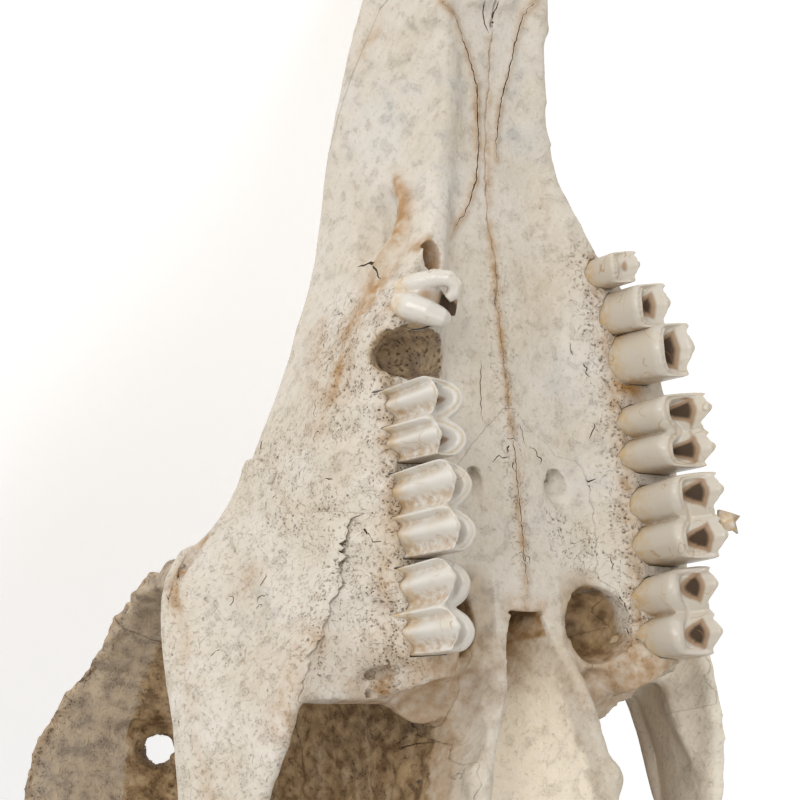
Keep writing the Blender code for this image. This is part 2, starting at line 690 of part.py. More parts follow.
def set_horns(bones, model, cutters):
    """Seat each horn sheath on its root, which is cut back from it by the thin gap."""
    for side, name in ((1, "horn_right"), (-1, "horn_left")):
        bones[name] = horn(name, side, model)
        grown = horn(name + "_grown", side, cutters, BONE_GAP)
        boolean(bones["frontal"], grown, "DIFFERENCE")
        bpy.data.objects.remove(grown, do_unlink=True)
    largest_only(bones["frontal"])


def rest_matrix(pieces):
    """Turn the skull over until its nose and horn tips are level, and stand it on the floor."""
    points = [tuple(vertex.co) for piece in pieces for vertex in piece.data.vertices]
    nose = [point for point in points if point[1] > JAW_FRONT_Y]
    horns = [point for point in points if point[2] > HORN_BASE[2] + 100.0]
    low = 0.0
    high = math.radians(80.0)
    for _ in range(40):
        pitch = (low + high) / 2
        sine = math.sin(pitch)
        cosine = math.cos(pitch)
        nose_low = min(-sine * y - cosine * z for _, y, z in nose)
        horn_low = min(-sine * y - cosine * z for _, y, z in horns)
        if nose_low > horn_low:
            low = pitch
        else:
            high = pitch
    turn = Matrix(((1, 0, 0, 0), (0, -cosine, sine, 0), (0, -sine, -cosine, 0), (0, 0, 0, 1)))
    turned = [turn @ Vector(point) for point in points]
    depths = [point.y for point in turned]
    floor = min(point.z for point in turned) + FLAT_DEPTH
    return Matrix.Translation((0.0, -(min(depths) + max(depths)) / 2, -floor)) @ turn


def cut_at_floor(piece, cutters):
    """Give a piece that rests on the floor its small flat, at floor level."""
    size = 600.0
    bm = bmesh.new()
    bmesh.ops.create_cube(bm, size=size)
    block = new_object("floor_cut", bm, cutters)
    block.data.transform(Matrix.Translation((0.0, 0.0, -size / 2)))
    boolean(piece, block, "DIFFERENCE")
    bpy.data.objects.remove(block, do_unlink=True)
    largest_only(piece)


def paint(piece, colour, roughness):
    """Give a piece a material of its own."""
    material = bpy.data.materials.new(piece.name + "_surface")
    material.use_nodes = True
    shader = material.node_tree.nodes["Principled BSDF"]
    shader.inputs["Base Color"].default_value = (*colour, 1.0)
    shader.inputs["Roughness"].default_value = roughness
    piece.data.materials.clear()
    piece.data.materials.append(material)


def whole_skull(model, cutters):
    """Bone of the whole skull as one surface, before its teeth and horns."""
    forms = side_forms(cutters)
    forms += [mirror_copy(form, cutters) for form in forms]
    forms += [face_block(cutters), frontal_shelf(cutters), inner_wall(cutters), brain_dome(cutters)]
    forms.append(nasal_tips(cutters))
    skull = join_all(forms, "skull", model)
    remesh = skull.modifiers.new("remesh", "REMESH")
    remesh.mode = "VOXEL"
    remesh.voxel_size = VOXEL
    apply_modifiers(skull)
    cuts = side_cutters(cutters)
    cuts += [mirror_copy(cut, cutters) for cut in cuts]
    cuts += single_cutters(cutters)
    cuts += [choana_cutter(cutters), nostril_cutter(cutters)]
    for cut in cuts:
        boolean(skull, cut, "DIFFERENCE")
        bpy.data.objects.remove(cut, do_unlink=True)
    largest_only(skull)
    smooth = skull.modifiers.new("smooth", "SMOOTH")
    smooth.factor = 0.5
    smooth.iterations = 4
    apply_modifiers(skull)
    decimate = skull.modifiers.new("decimate", "DECIMATE")
    decimate.ratio = BONE_TRIANGLES / len(skull.data.polygons)
    decimate.use_collapse_triangulate = True
    apply_modifiers(skull)
    return skull


MODEL, CUTTERS = start_clean()
CUTTERS.hide_render = True
BONES = divide(whole_skull(MODEL, CUTTERS), MODEL, CUTTERS)
plant_teeth(BONES, CUTTERS)
set_horns(BONES, MODEL, CUTTERS)
REST = rest_matrix(BONES.values())
for bone_name, bone in BONES.items():
    bone.data.transform(REST)
    if bone_name.startswith(("horn", "premaxilla")):
        cut_at_floor(bone, CUTTERS)
    bone.data.transform(Matrix.Scale(0.001, 4))
    if bone_name.startswith("horn"):
        paint(bone, HORN_COLOUR, 0.45)
    elif bone_name == "frontal":
        paint(bone, ROOF_COLOUR, 0.8)
    else:
        paint(bone, BONE_COLOUR, 0.7)
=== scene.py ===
import math

import bmesh
import bpy
import numpy as np
from mathutils import Matrix, Vector, noise


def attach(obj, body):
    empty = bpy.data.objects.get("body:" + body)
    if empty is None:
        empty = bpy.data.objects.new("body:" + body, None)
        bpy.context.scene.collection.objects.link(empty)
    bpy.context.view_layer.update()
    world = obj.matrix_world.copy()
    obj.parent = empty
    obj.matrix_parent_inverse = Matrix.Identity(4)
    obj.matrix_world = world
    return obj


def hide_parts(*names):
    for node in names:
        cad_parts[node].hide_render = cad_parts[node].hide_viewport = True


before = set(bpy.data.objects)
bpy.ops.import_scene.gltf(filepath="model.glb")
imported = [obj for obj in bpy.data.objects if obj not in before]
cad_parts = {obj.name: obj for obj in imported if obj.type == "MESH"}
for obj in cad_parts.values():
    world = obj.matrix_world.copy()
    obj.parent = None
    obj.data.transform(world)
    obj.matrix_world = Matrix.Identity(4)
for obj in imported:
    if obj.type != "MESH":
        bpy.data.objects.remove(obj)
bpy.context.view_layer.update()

# The bone of the skull
# A dry reedbuck skull without its lower jaw, upside down on its nose and horn tips. It is drawn in
# its own frame in millimetres: x to the animal's right, y towards the nose, z towards the crown.
# All its bone is first one surface, of plain forms that run into each other and hollows cut in.

nose_tip = 146.0
jaw_front = 112.0
nasal_tip = 119.0
head_back = -116.0
bone_grain = 1.0

# Each profile is (y, height or half width) from the snout back
roof_z = ((119, 22.5), (108, 25), (90, 30.5), (78, 34), (58, 38.5), (40, 45), (20, 55), (5, 64.5),
          (-10, 71.5), (-25, 77), (-40, 82), (-60, 85))
palate_z = ((112, -5), (96, -3), (80, -1), (66, 0), (-14, 0))
ridge_x = ((112, 10), (96, 9.3), (89, 8.8), (79, 10), (70, 12), (62, 14.5), (50, 17), (35, 19), (-14, 21))
ridge_z = ((112, -6), (90, -4), (76, -2.5), (64, -4.5), (55, -5), (-8, -5), (-14, -3))
cheek_x = ((112, 12.5), (96, 11.3), (89, 11), (79, 12.5), (70, 15), (63, 18), (55, 24), (45, 29.5),
           (35, 31.2), (7, 32), (-8, 31), (-14, 27))
lower_wall_x = ((112, 12.2), (96, 13.4), (79, 15), (66, 18.5), (55, 24), (45, 29.5), (35, 33),
                (22, 35.5), (10, 37), (-14, 36))
mid_wall_x = ((112, 11), (103, 13.5), (90, 16.3), (78, 17.5), (66, 18.7), (58, 20.7), (49, 24),
              (40, 28), (30, 32.5), (20, 38.5), (13, 44.5), (6, 46.5), (-6, 49.3))
mid_wall_z = ((112, 15), (90, 20), (78, 23.5), (58, 27.5), (40, 29.5), (30, 31), (20, 34), (13, 38.5),
              (-6, 36))
shoulder_x = ((112, 7), (90, 10.5), (60, 13), (40, 15), (27, 18), (19, 28), (13, 42), (7, 43),
              (-6, 47.5))
shoulder_z = ((112, 21), (90, 27), (60, 34), (40, 40.5), (27, 46), (15, 48), (7, 60.5), (-6, 71.5))
rim_x = ((15, 42), (7, 43), (2, 43.2), (-4, 46.6), (-15, 52.4), (-25, 54.2), (-33, 53.5), (-41, 50),
         (-50, 40), (-62, 33))
rim_z = ((15, 46), (7, 61), (2, 66), (-4, 71.5), (-15, 74.7), (-25, 76.3), (-33, 76), (-41, 74),
         (-50, 76), (-62, 76))
choana_x = ((0, 3.0), (-2, 3.8), (-5, 4.9), (-14, 7.8), (-22, 10.3), (-30, 12.3), (-46, 12))
plate_z = ((0, 0.5), (-5, -0.5), (-14, -3), (-22, -2.5), (-32, -2), (-40, 3), (-46, 12))
eye_rim_x = ((18, 40), (7, 48.4), (-5, 51.1), (-10, 51.4), (-16, 52), (-21, 52.8), (-30, 53.4), (-52, 51),
             (-66, 48))
eye_rim_z = ((18, 36), (7, 37.6), (-5, 34), (-10, 32.4), (-16, 30.6), (-21, 29.8), (-30, 30), (-40, 30.5),
             (-52, 28), (-66, 27))
keel_x = ((18, 33), (7, 37), (-2.5, 41.9), (-8, 44.7), (-15.6, 46.7), (-25, 49), (-30, 50), (-52, 49.5), (-66, 47))
keel_z = ((18, 7), (7, 3), (-2.5, 4), (-8, 4.4), (-15.6, 5.7), (-20, 6.9), (-25, 9.1), (-30, 11.2), (-40, 16),
          (-52, 19), (-66, 20))
inner_keel_x = ((4, 36), (-3, 38.9), (-8.6, 39.5), (-13.4, 40.8), (-18.4, 43), (-25, 46.3), (-32, 48.2),
                (-66, 45))
inner_keel_z = ((4, 8), (-3, 9.7), (-8.6, 12), (-13.4, 13.6), (-25, 14), (-32, 15.6), (-40, 19), (-66, 23))
case_roof_z = ((-36, 80), (-60, 84), (-72, 81), (-84, 75), (-96, 66), (-108, 55), (-116, 43))
case_x = ((-36, 15), (-48, 23), (-60, 29.5), (-74, 32.5), (-90, 32.5), (-103, 35), (-112, 33), (-116, 26))
case_middle_z = ((-36, 52), (-60, 52), (-84, 46), (-100, 38), (-116, 33))
case_base_z = ((-36, 21), (-60, 18), (-84, 15), (-108, 13), (-116, 16))
nose_inside_x = ((146, 2.8), (140, 2.6), (132, 5.2), (122, 8), (112, 9.4), (100, 10))
nose_outside_x = ((146, 7.4), (140, 11), (132, 12.6), (122, 13), (112, 12.8), (100, 13.6))
nose_low_z = ((146, -7.8), (140, -8.6), (132, -8.2), (122, -7.2), (112, -6), (100, -4.5))
nose_high_z = ((146, -4.8), (140, -4), (132, -2.4), (122, 3.5), (112, 12), (100, 17.5))


def along(knots, y):
    """Value at y on the smooth line through knots of (y, value), listed from front to back."""
    if y >= knots[0][0]:
        return knots[0][1]
    if y <= knots[-1][0]:
        return knots[-1][1]
    slopes = [(b[1] - a[1]) / (b[0] - a[0]) for a, b in zip(knots, knots[1:])]
    tangents = [slopes[0]]
    for before, after in zip(slopes, slopes[1:]):
        tangents.append(0.0 if before * after <= 0 else 2 * before * after / (before + after))
    tangents.append(slopes[-1])
    i = max(k for k in range(len(slopes)) if y <= knots[k][0])
    step = knots[i + 1][0] - knots[i][0]
    t = (y - knots[i][0]) / step
    start = knots[i][1] * (1 + 2 * t) * (1 - t) ** 2 + tangents[i] * step * t * (1 - t) ** 2
    end = knots[i + 1][1] * t * t * (3 - 2 * t) - tangents[i + 1] * step * t * t * (1 - t)
    return start + end


def steps(first, last, spacing):
    """Evenly spaced values from first to last."""
    count = max(1, round(abs(last - first) / spacing))
    return [first + (last - first) * i / count for i in range(count + 1)]


def shape(name, bm):
    """Turn a bmesh into an object in the scene, with its faces pointing outwards."""
    bmesh.ops.recalc_face_normals(bm, faces=bm.faces)
    mesh = bpy.data.meshes.new(name)
    bm.to_mesh(mesh)
    bm.free()
    made = bpy.data.objects.new(name, mesh)
    bpy.context.scene.collection.objects.link(made)
    return made


def drop(*used):
    """Remove pieces that have done their work."""
    for one in used:
        bpy.data.objects.remove(one, do_unlink=True)


def skin(name, rings):
    """Closed skin over rings of points, which all have the same count."""
    bm = bmesh.new()
    rows = [[bm.verts.new(point) for point in ring] for ring in rings]
    for row, following in zip(rows, rows[1:]):
        for k, vertex in enumerate(row):
            m = (k + 1) % len(row)
            bm.faces.new((vertex, row[m], following[m], following[k]))
    bm.faces.new(rows[0])
    bm.faces.new(rows[-1])
    return shape(name, bm)


def both_sides(half, y):
    """Ring at y from a right half outline that runs from the lower to the upper midline."""
    return [(x, y, z) for x, z in half] + [(-x, y, z) for x, z in reversed(half) if x > 0]


def ball(name, centre, radii, turn=(0.0, 0.0, 0.0)):
    """Ellipsoid with the given half axes, turned by degrees about x, then y, then z."""
    bm = bmesh.new()
    bmesh.ops.create_uvsphere(bm, u_segments=32, v_segments=20, radius=1.0)
    made = shape(name, bm)
    spin = Matrix.Identity(4)
    for angle, axis in zip(turn, "XYZ"):
        spin = Matrix.Rotation(math.radians(angle), 4, axis) @ spin
    made.data.transform(Matrix.Translation(centre) @ spin @ Matrix.Diagonal((*radii, 1.0)))
    return made


def rod(name, points, radii, flatten=1.0, sides=14):
    """Tapered bar along points; flatten squeezes it sideways to its path."""
    path = [Vector(point) for point in points]
    rings = []
    for i, point in enumerate(path):
        ahead = (path[min(i + 1, len(path) - 1)] - path[max(i - 1, 0)]).normalized()
        side = ahead.cross(Vector((0.0, 0.0, 1.0)))
        if side.length < 0.3:
            side = ahead.cross(Vector((0.0, 1.0, 0.0)))
        side.normalize()
        rise = side.cross(ahead)
        angles = [2 * math.pi * k / sides for k in range(sides)]
        rings.append([point + side * math.cos(a) * radii[i] * flatten + rise * math.sin(a) * radii[i]
                      for a in angles])
    return skin(name, rings)


def mirrored(piece):
    """The same form on the animal's left."""
    bm = bmesh.new()
    bm.from_mesh(piece.data)
    for vertex in bm.verts:
        vertex.co.x = -vertex.co.x
    return shape(piece.name + "_left", bm)


def settle_modifiers(piece):
    """Replace a piece's mesh by its evaluated one and drop its modifiers."""
    depsgraph = bpy.context.evaluated_depsgraph_get()
    mesh = bpy.data.meshes.new_from_object(piece.evaluated_get(depsgraph))
    piece.modifiers.clear()
    piece.data = mesh


def combine(piece, other, operation):
    """Cut, join or meet a piece with another."""
    modifier = piece.modifiers.new("combine", "BOOLEAN")
    modifier.operation = operation
    modifier.solver = "MANIFOLD"
    modifier.object = other
    settle_modifiers(piece)


def heap(name, pieces):
    """Put many closed pieces in one mesh."""
    bm = bmesh.new()
    for piece in pieces:
        bm.from_mesh(piece.data)
    drop(*pieces)
    mesh = bpy.data.meshes.new(name)
    bm.to_mesh(mesh)
    bm.free()
    whole = bpy.data.objects.new(name, mesh)
    bpy.context.scene.collection.objects.link(whole)
    return whole


def keep_largest(piece):
    """Keep the piece's largest closed surface, in triangles."""
    bm = bmesh.new()
    bm.from_mesh(piece.data)
    bmesh.ops.triangulate(bm, faces=bm.faces)
    unseen = set(bm.faces)
    groups = []
    while unseen:
        stack = [unseen.pop()]
        group = []
        while stack:
            face = stack.pop()
            group.append(face)
            for edge in face.edges:
                for other in edge.link_faces:
                    if other in unseen:
                        unseen.remove(other)
                        stack.append(other)
        groups.append(group)
    groups.sort(key=len, reverse=True)
    bmesh.ops.delete(bm, geom=[face for group in groups[1:] for face in group], context="FACES")
    bmesh.ops.delete(bm, geom=[vertex for vertex in bm.verts if not vertex.link_faces], context="VERTS")
    bm.to_mesh(piece.data)
    bm.free()


# Upper jaw and snout, forehead, the wall between the orbits, and the case of the brain
rings = []
for y in steps(jaw_front, -9.0, 2.0):
    low, edge, far = along(palate_z, y), along(ridge_z, y), along(ridge_x, y)
    out, up, top = along(shoulder_x, y), along(shoulder_z, y), along(roof_z, y)
    rings.append(both_sides((
        (0.0, low), (far * 0.72, low - 0.1), (far, edge), (along(cheek_x, y), edge - 0.3),
        (along(lower_wall_x, y), edge + 11.0), (along(mid_wall_x, y), along(mid_wall_z, y)),
        (out, up), (out * 0.55, up + (top - up) * 0.86), (0.0, top)), y))
forms = [skin("face", rings)]

rings = []
for y in steps(14.0, -64.0, 2.0):
    top, out, up = along(roof_z, y), along(rim_x, y), along(rim_z, y)
    middle = up + (top - up) * 0.7
    rings.append(both_sides((
        (0.0, top - 14.0), (out * 0.45, middle - 9.0), (out * 0.85, up - 4.5), (out, up - 4.0),
        (out + 0.6, up - 1.5), (out * 0.9, up + 0.6), (out * 0.5, middle + 1.5), (0.0, top)), y))
forms.append(skin("forehead", rings))

wall_x = ((6, 16), (-12, 14.5), (-30, 14.5), (-45, 19), (-56, 24))
rings = []
for y in steps(6.0, -56.0, 2.0):
    out, top = along(wall_x, y), along(roof_z, y)
    rings.append(both_sides((
        (0.0, 19.0), (out * 0.8, 19.0), (out, 26.0), (out, 56.0), (out + 4.0, top - 9.0),
        (0.0, top - 4.0)), y))
forms.append(skin("inner_wall", rings))

rings = []
for y in steps(-36.0, head_back, 2.0):
    out, top = along(case_x, y), along(case_roof_z, y)
    middle, low = along(case_middle_z, y), along(case_base_z, y)
    rings.append(both_sides((
        (0.0, low), (out * 0.36, low), (out * 0.74, low + 7.0),
        (out * 0.97, low + (middle - low) * 0.6), (out, middle),
        (out * 0.9, middle + (top - middle) * 0.5), (out * 0.6, middle + (top - middle) * 0.88),
        (0.0, top)), y))
forms.append(skin("brain_case", rings))

rings = []
for y in steps(100.0, nasal_tip, 2.0):
    top, wide = along(roof_z, y), 5.0 + 3.6 * (nasal_tip - y) / (nasal_tip - 100.0)
    rings.append(both_sides((
        (0.0, top - 3.2), (wide * 0.7, top - 4.4), (wide, top - 5.6), (wide, top - 4.0),
        (wide * 0.6, top - 1.0), (0.0, top)), y))
forms.append(skin("nasal_tips", rings))

# Forms with a twin on the left: cheekbone, choana wall, premaxilla and the knobs of the skull base
rings = []
for y in steps(18.0, -66.0, 2.0):
    rim = Vector((along(eye_rim_x, y), along(eye_rim_z, y)))
    keel = Vector((along(keel_x, y), along(keel_z, y)))
    plate = ((0.0, 0.3), (0.12, 0.6), (0.5, 0.0), (0.88, 0.6), (1.0, 0.2),
             (0.99, -1.8), (0.82, -2.8), (0.5, -3.4), (0.15, -3.2), (0.02, -2.4))
    points = [(keel.lerp(rim, share), shift) for share, shift in plate]
    rings.append([(point.x + shift, y, point.y) for point, shift in points])
twins = [skin("cheekbone", rings)]

rings = []
for y in steps(4.0, -66.0, 2.0):
    low = Vector((along(keel_x, y), along(keel_z, y)))
    crest = Vector((along(inner_keel_x, y), along(inner_keel_z, y)))
    high = Vector((along(eye_rim_x, y), along(eye_rim_z, y)))
    middle = low.lerp(high, 0.6)
    rings.append([(point.x, y, point.y) for point in (
        low, crest, crest.lerp(high, 0.3) + Vector((0.8, 0.0)), middle + Vector((-2.4, 0.0)), middle)])
twins.append(skin("cheekbone_keel", rings))

rings = []
for y in steps(3.0, -46.0, 2.0):
    inner, low = along(choana_x, y), along(plate_z, y)
    rings.append([
        (inner, y, low + 0.6), (inner + 1.4, y, low - 0.3), (inner + 3.0, y, low + 0.8),
        (max(inner + 4.5, 13.0), y, low + 12.0), (15.5, y, 26.0), (-0.5, y, 26.0), (-0.5, y, 12.0)])
twins.append(skin("choana_wall", rings))

rings = []
for y in steps(nose_tip, 100.0, 2.0):
    x_in, x_out = along(nose_inside_x, y), along(nose_outside_x, y)
    low, high = along(nose_low_z, y), along(nose_high_z, y)
    rings.append([
        (x_in, y, low + 0.5), ((x_in + x_out) / 2, y, low), (x_out - 0.5, y, low + 0.6),
        (x_out, y, (low + high) / 2), (x_out - 0.8, y, high), (x_in + 0.4, y, high),
        (x_in, y, (low + high) / 2)])
twins.append(skin("premaxilla", rings))

twins += [
    rod("palatine_process", ((3.2, 136, -6.8), (2.6, 120, -6), (2.5, 104, -4)), (2.4, 2.2, 2.4)),
    rod("behind_orbit", ((51, -37, 28), (52.6, -40, 40), (53, -41, 54), (52, -38, 70), (48, -36, 76)),
        (4.6, 4.2, 4.2, 5.0, 5.0)),
    rod("arch_root", ((49, -56, 24), (46, -70, 24.5), (40, -80, 26), (30, -88, 28)),
        (4.2, 5.0, 6.0, 8.0)),
    ball("jaw_hinge", (36, -79, 23), (10, 8, 4.5)),
    ball("ear_bulla", (18.5, -90, 11), (6.5, 11, 9.5)),
    rod("ear_tube", ((24, -94, 20), (34, -96, 27), (37.5, -97, 30)), (5.0, 4.5, 3.6)),
    rod("paroccipital", ((27, -105, 26), (26.5, -108, 12), (25.5, -109, 0), (24.5, -107, -11)),
        (7.5, 6.0, 4.0, 1.8), flatten=0.6),
    ball("condyle", (12.5, -115, 20), (10, 8.5, 8.5), turn=(20, 25, -15)),
    rod("nuchal_crest", ((0, -112, 53), (14, -112, 52), (26, -109, 46), (33, -104, 36)),
        (4.0, 4.0, 3.6, 3.0)),
    ball("tuberosity", (24, -6, 2), (8.5, 10, 8.5)),
    ball("inner_tuberosity", (17.5, -7, 8.5), (9, 10.5, 6.5)),
    rod("horn_root", ((19, -45, 76), (24, -53, 90), (27.2, -58.5, 99)), (17, 14.5, 14)),
    rod("hamulus", ((12.5, -28, 6), (13.5, -34, 0), (14.2, -38, -2.4)), (3.2, 2.6, 1.8)),
    ball("hamular_knob", (14.0, -28.0, -0.5), (2.6, 3.6, 2.6)),
]
forms += twins + [mirrored(one) for one in twins]

# Root of the right cheekbone behind the last molar, which has broken away on the left
rings = []
for y in steps(4.0, -14.0, 2.0):
    out, low, floor = along(keel_x, y) - 0.7, along(keel_z, y), 3.0 - 0.2 * y
    rings.append([(25.0, y, floor - 1.6), (35.0, y, floor - 1.4), (out, y, low + 0.2), (out - 1.0, y, low + 5.0),
                  (34.0, y, floor + 5.0), (25.0, y, floor + 5.0)])
forms.append(skin("cheekbone_root", rings))
skull = heap("skull", forms)
remesh = skull.modifiers.new("remesh", "REMESH")
remesh.mode = "VOXEL"
remesh.voxel_size = bone_grain
settle_modifiers(skull)

# Hollows: orbits, the hole in each brow, foramina, the choana, the nostrils and two empty sockets
brow_hole = Vector((25.8, -12.7, 72.0))
brow_reach = Vector((0.633, -0.167, -0.756)) * 16.0
hollows = [
    ball("orbit_hollow", (60, -13, 55), (44, 27, 18.5), (-25, -15, 0)),
    rod("ethmoid_slit", ((17.5, 30, 53), (19.5, 22, 58), (20, 12, 64)), (1.2, 2.0, 1.2)),
    rod("brow_hole", (brow_hole - brow_reach, brow_hole + brow_reach), (2.9, 2.9), sides=24),
    ball("infraorbital", (19.3, 69.0, 9.2), (3.6, 8.0, 5.2), (-14, 0, 0)),
    rod("infraorbital_canal", ((19.0, 74.5, 8.5), (16.6, 69.5, 7.6), (14.0, 62, 9)), (2.4, 2.5, 1.6)),
    rod("palate_foramen", ((9.6, 18.5, -3), (9, 22.5, 0.6), (8.6, 26, 4)), (2.6, 1.7, 1.2)),
    ball("behind_notch", (14.0, -11, -6.5), (5.6, 11, 8.0)),
]
hollows += [mirrored(one) for one in hollows]
hollows += [
    ball("palate_notch_left", (-13.9, -1.8, -0.5), (5.7, 6.6, 9.5), (-12, 0, 0)),
    ball("palate_notch_right", (15.6, -1.8, -0.5), (4.1, 6.0, 9.5), (-12, 0, 0)),
    ball("second_socket", (18.0, 58.9, -5), (2.0, 2.9, 6)),
    ball("fourth_socket", (23.0, 42.3, -6), (7.0, 4.9, 10)),
    ball("fourth_socket_edge", (28.4, 42.0, -6), (3.6, 4.0, 5)),
    ball("broken_tuberosity", (21.5, -19.0, 0.5), (9.5, 8.8, 9)),
    ball("broken_wall", (34.6, -1.6, -5.5), (4.0, 6.0, 6.5), (0, 25, 0)),
    ball("flake_hole", (31.4, -10.0, 0.5), (1.5, 1.4, 4.5), (0, 10, 20)),
    ball("lower_flake_hole", (31.0, -13.2, 2), (1.2, 0.7, 4.5), (0, 10, 15)),
    skin("broken_left_tuberosity", [[(-15.6, -15.2, z), (-34.0, -6.0, z), (-38.0, -20.0, z), (-17.0, -26.0, z)]
                                     for z in (-10.0, 7.0)]),
    ball("spinal_opening", (0, -119, 27), (9.5, 16, 8.5)),
]
rings = []
for y in steps(30.0, 0.4, 3.0) + steps(0.0, -60.0, 2.5):
    inner = 4.2 + y * 0.06 if y > 0 else along(choana_x, y)
    low, high = (3.0, 14.5) if y > 0 else (-14.0, 13.5)
    edge = 4.0 if y > 0 else along(plate_z, y) + 1.0
    rings.append(both_sides((
        (0.0, low), (inner, low), (inner, edge), (inner * 0.86, edge + (high - edge) * 0.27),
        (inner * 0.66, edge + (high - edge) * 0.55), (inner * 0.43, edge + (high - edge) * 0.8),
        (inner * 0.2, edge + (high - edge) * 0.95), (0.0, high)), y))
hollows.append(skin("choana", rings))
nostril_x = ((124, 8.2), (112, 8.2), (96, 9.5), (66, 8.0))
nostril_z = ((124, -2.5), (112, -2.0), (90, 1.0), (66, 4.0))
rings = []
for y in steps(124.0, 66.0, 2.5):
    top, wide, low = along(roof_z, y), along(nostril_x, y), along(nostril_z, y)
    rings.append(both_sides((
        (0.0, low), (wide, low + 0.5), (wide + 1.0, low + 9.0), (wide * 0.8, top - 6.4),
        (0.0, top - 4.4)), y))
hollows.append(skin("nostrils", rings))
for hollow in hollows:
    combine(skull, hollow, "DIFFERENCE")
drop(*hollows)
margin = rod("eye_margin", ((41.5, 17, 36.5), (45.0, 12.5, 37.4), (47.2, 7, 37), (48.6, 1, 35.4), (49.4, -5, 33.6),
                            (49.8, -10, 32), (50.4, -16, 30.3), (51, -21, 29.6), (51.8, -30, 29.8)),
             (1.6, 1.8, 1.8, 1.8, 1.8, 1.8, 1.8, 1.8, 1.6))
for one in (margin, mirrored(margin)):
    combine(skull, one, "UNION")
    drop(one)
keep_largest(skull)
smooth = skull.modifiers.new("smooth", "SMOOTH")
smooth.factor = 0.5
smooth.iterations = 5
settle_modifiers(skull)

# The bones
# The skull's surface is parted along its sutures, which are thin wandering gaps, so that each bone
# is a piece of its own as in a real skull, with the bones' names.

suture_gap = 0.18
suture_wander = 0.5
half_gap = suture_gap / 2


def wander(place, seed, size=suture_wander):
    """Sideways wandering of a suture at a place along it, in millimetres."""
    slow = noise.noise((place * 0.35, seed, 0.0))
    quick = noise.noise((place * 1.7, seed, 5.0))
    return size * (slow * 1.6 + quick * 0.9)


def band(name, stations, grow, uneven):
    """Region along the skull from (y, low x, high x, low z, high z), its walls wandering."""
    heights = [row[0] for row in stations]
    rings = []
    for y in steps(heights[0], heights[-1], 0.7):
        x0, x1, z0, z1 = (float(np.interp(-y, [-h for h in heights], [row[i] for row in stations]))
                          for i in range(1, 5))
        x0, x1 = x0 + wander(y, 1.0, uneven), x1 + wander(y, 3.0, uneven)
        z0, z1 = z0 + wander(y, 7.0, uneven), z1 + wander(y, 9.0, uneven)
        rings.append([[x0 - grow, y, z0 - grow], [x1 + grow, y, z0 - grow],
                      [x1 + grow, y, z1 + grow], [x0 - grow, y, z1 + grow]])
    for ring, ahead in ((rings[0], grow), (rings[-1], -grow)):
        for point in ring:
            point[1] += ahead
    return skin(name, rings)


def take(name, region, grown):
    """Move the part of the skull inside a region to a piece of its own, a thin gap away."""
    piece = bpy.data.objects.new(name, skull.data.copy())
    bpy.context.scene.collection.objects.link(piece)
    combine(piece, region, "INTERSECT")
    keep_largest(piece)
    combine(skull, grown, "DIFFERENCE")
    drop(region, grown)
    return piece


def take_band(name, stations, uneven=suture_wander, gap=suture_gap):
    """Take the bone inside a region given by its stations."""
    return take(name, band("region", stations, 0.0, uneven), band("grown", stations, gap, uneven))


def on_left(stations):
    """The same region on the animal's left."""
    return [(y, -x1, -x0, z0, z1) for y, x0, x1, z0, z1 in stations]


def nose_region(side, grow):
    """All that lies in front of the premaxilla's long slanting suture with the jaw."""
    suture = ((110.5, -16.0), (108.5, 4.0), (106.0, 10.0), (96.0, 16.0), (84.0, 22.0), (77.6, 26.5),
              (74.0, 44.0))
    outline = [(nose_tip + 6.0, 44.0), (nose_tip + 6.0, -16.0)]
    outline += [(y - grow, z - grow * 0.5) for y, z in suture]
    return skin("nose", [[(side * x, y, z) for y, z in outline] for x in (half_gap - grow, 60.0)])


nasal_reach = ((121, 10), (100, 10), (88, 11), (60, 13), (30, 14), (14, 10), (6, 2.5))
nasal_rows = [(y, half_gap, along(nasal_reach, y), along(roof_z, y) - 7.0, along(roof_z, y) + 6.0)
              for y in steps(121.0, 6.0, 9.0)]
cheekbone_rows = (
    (30.0, 30.0, 75.0, 27.5, 31.0), (27.0, 30.5, 75.0, 21.5, 36.0), (23.3, 31.0, 75.0, 19.3, 38.0),
    (17.8, 31.5, 75.0, 13.8, 39.5), (17.0, 31.5, 75.0, 6.0, 40.0), (15.2, 34.8, 75.0, -3.0, 40.0),
    (8.4, 35.6, 75.0, -3.0, 41.5), (2.7, 37.6, 75.0, -3.0, 42.0), (-2.5, 40.6, 75.0, -3.0, 42.5),
    (-8.0, 43.6, 75.0, -3.0, 43.0), (-14.2, 45.4, 75.0, -3.0, 43.5), (-15.0, 37.0, 75.0, -3.0, 43.5),
    (-34.0, 38.0, 75.0, -3.0, 46.0), (-52.0, 38.0, 75.0, -3.0, 46.0))
forehead_rows = (
    (15.0, -80.0, 80.0, 64.0, 130.0), (6.0, -80.0, 80.0, 57.5, 130.0), (-6.0, -80.0, 80.0, 50.0, 130.0),
    (-16.0, -80.0, 80.0, 46.3, 130.0), (-46.0, -80.0, 80.0, 46.3, 130.0),
    (-58.0, -80.0, 80.0, 66.0, 130.0), (-68.0, -80.0, 80.0, 79.0, 130.0))
lacrimal_rows = (
    (27.0, 21.0, 75.0, 43.0, 48.0), (18.0, 21.0, 75.0, 39.0, 58.0), (6.0, 20.0, 75.0, 39.0, 70.0),
    (-8.0, 19.0, 75.0, 41.0, 70.0))
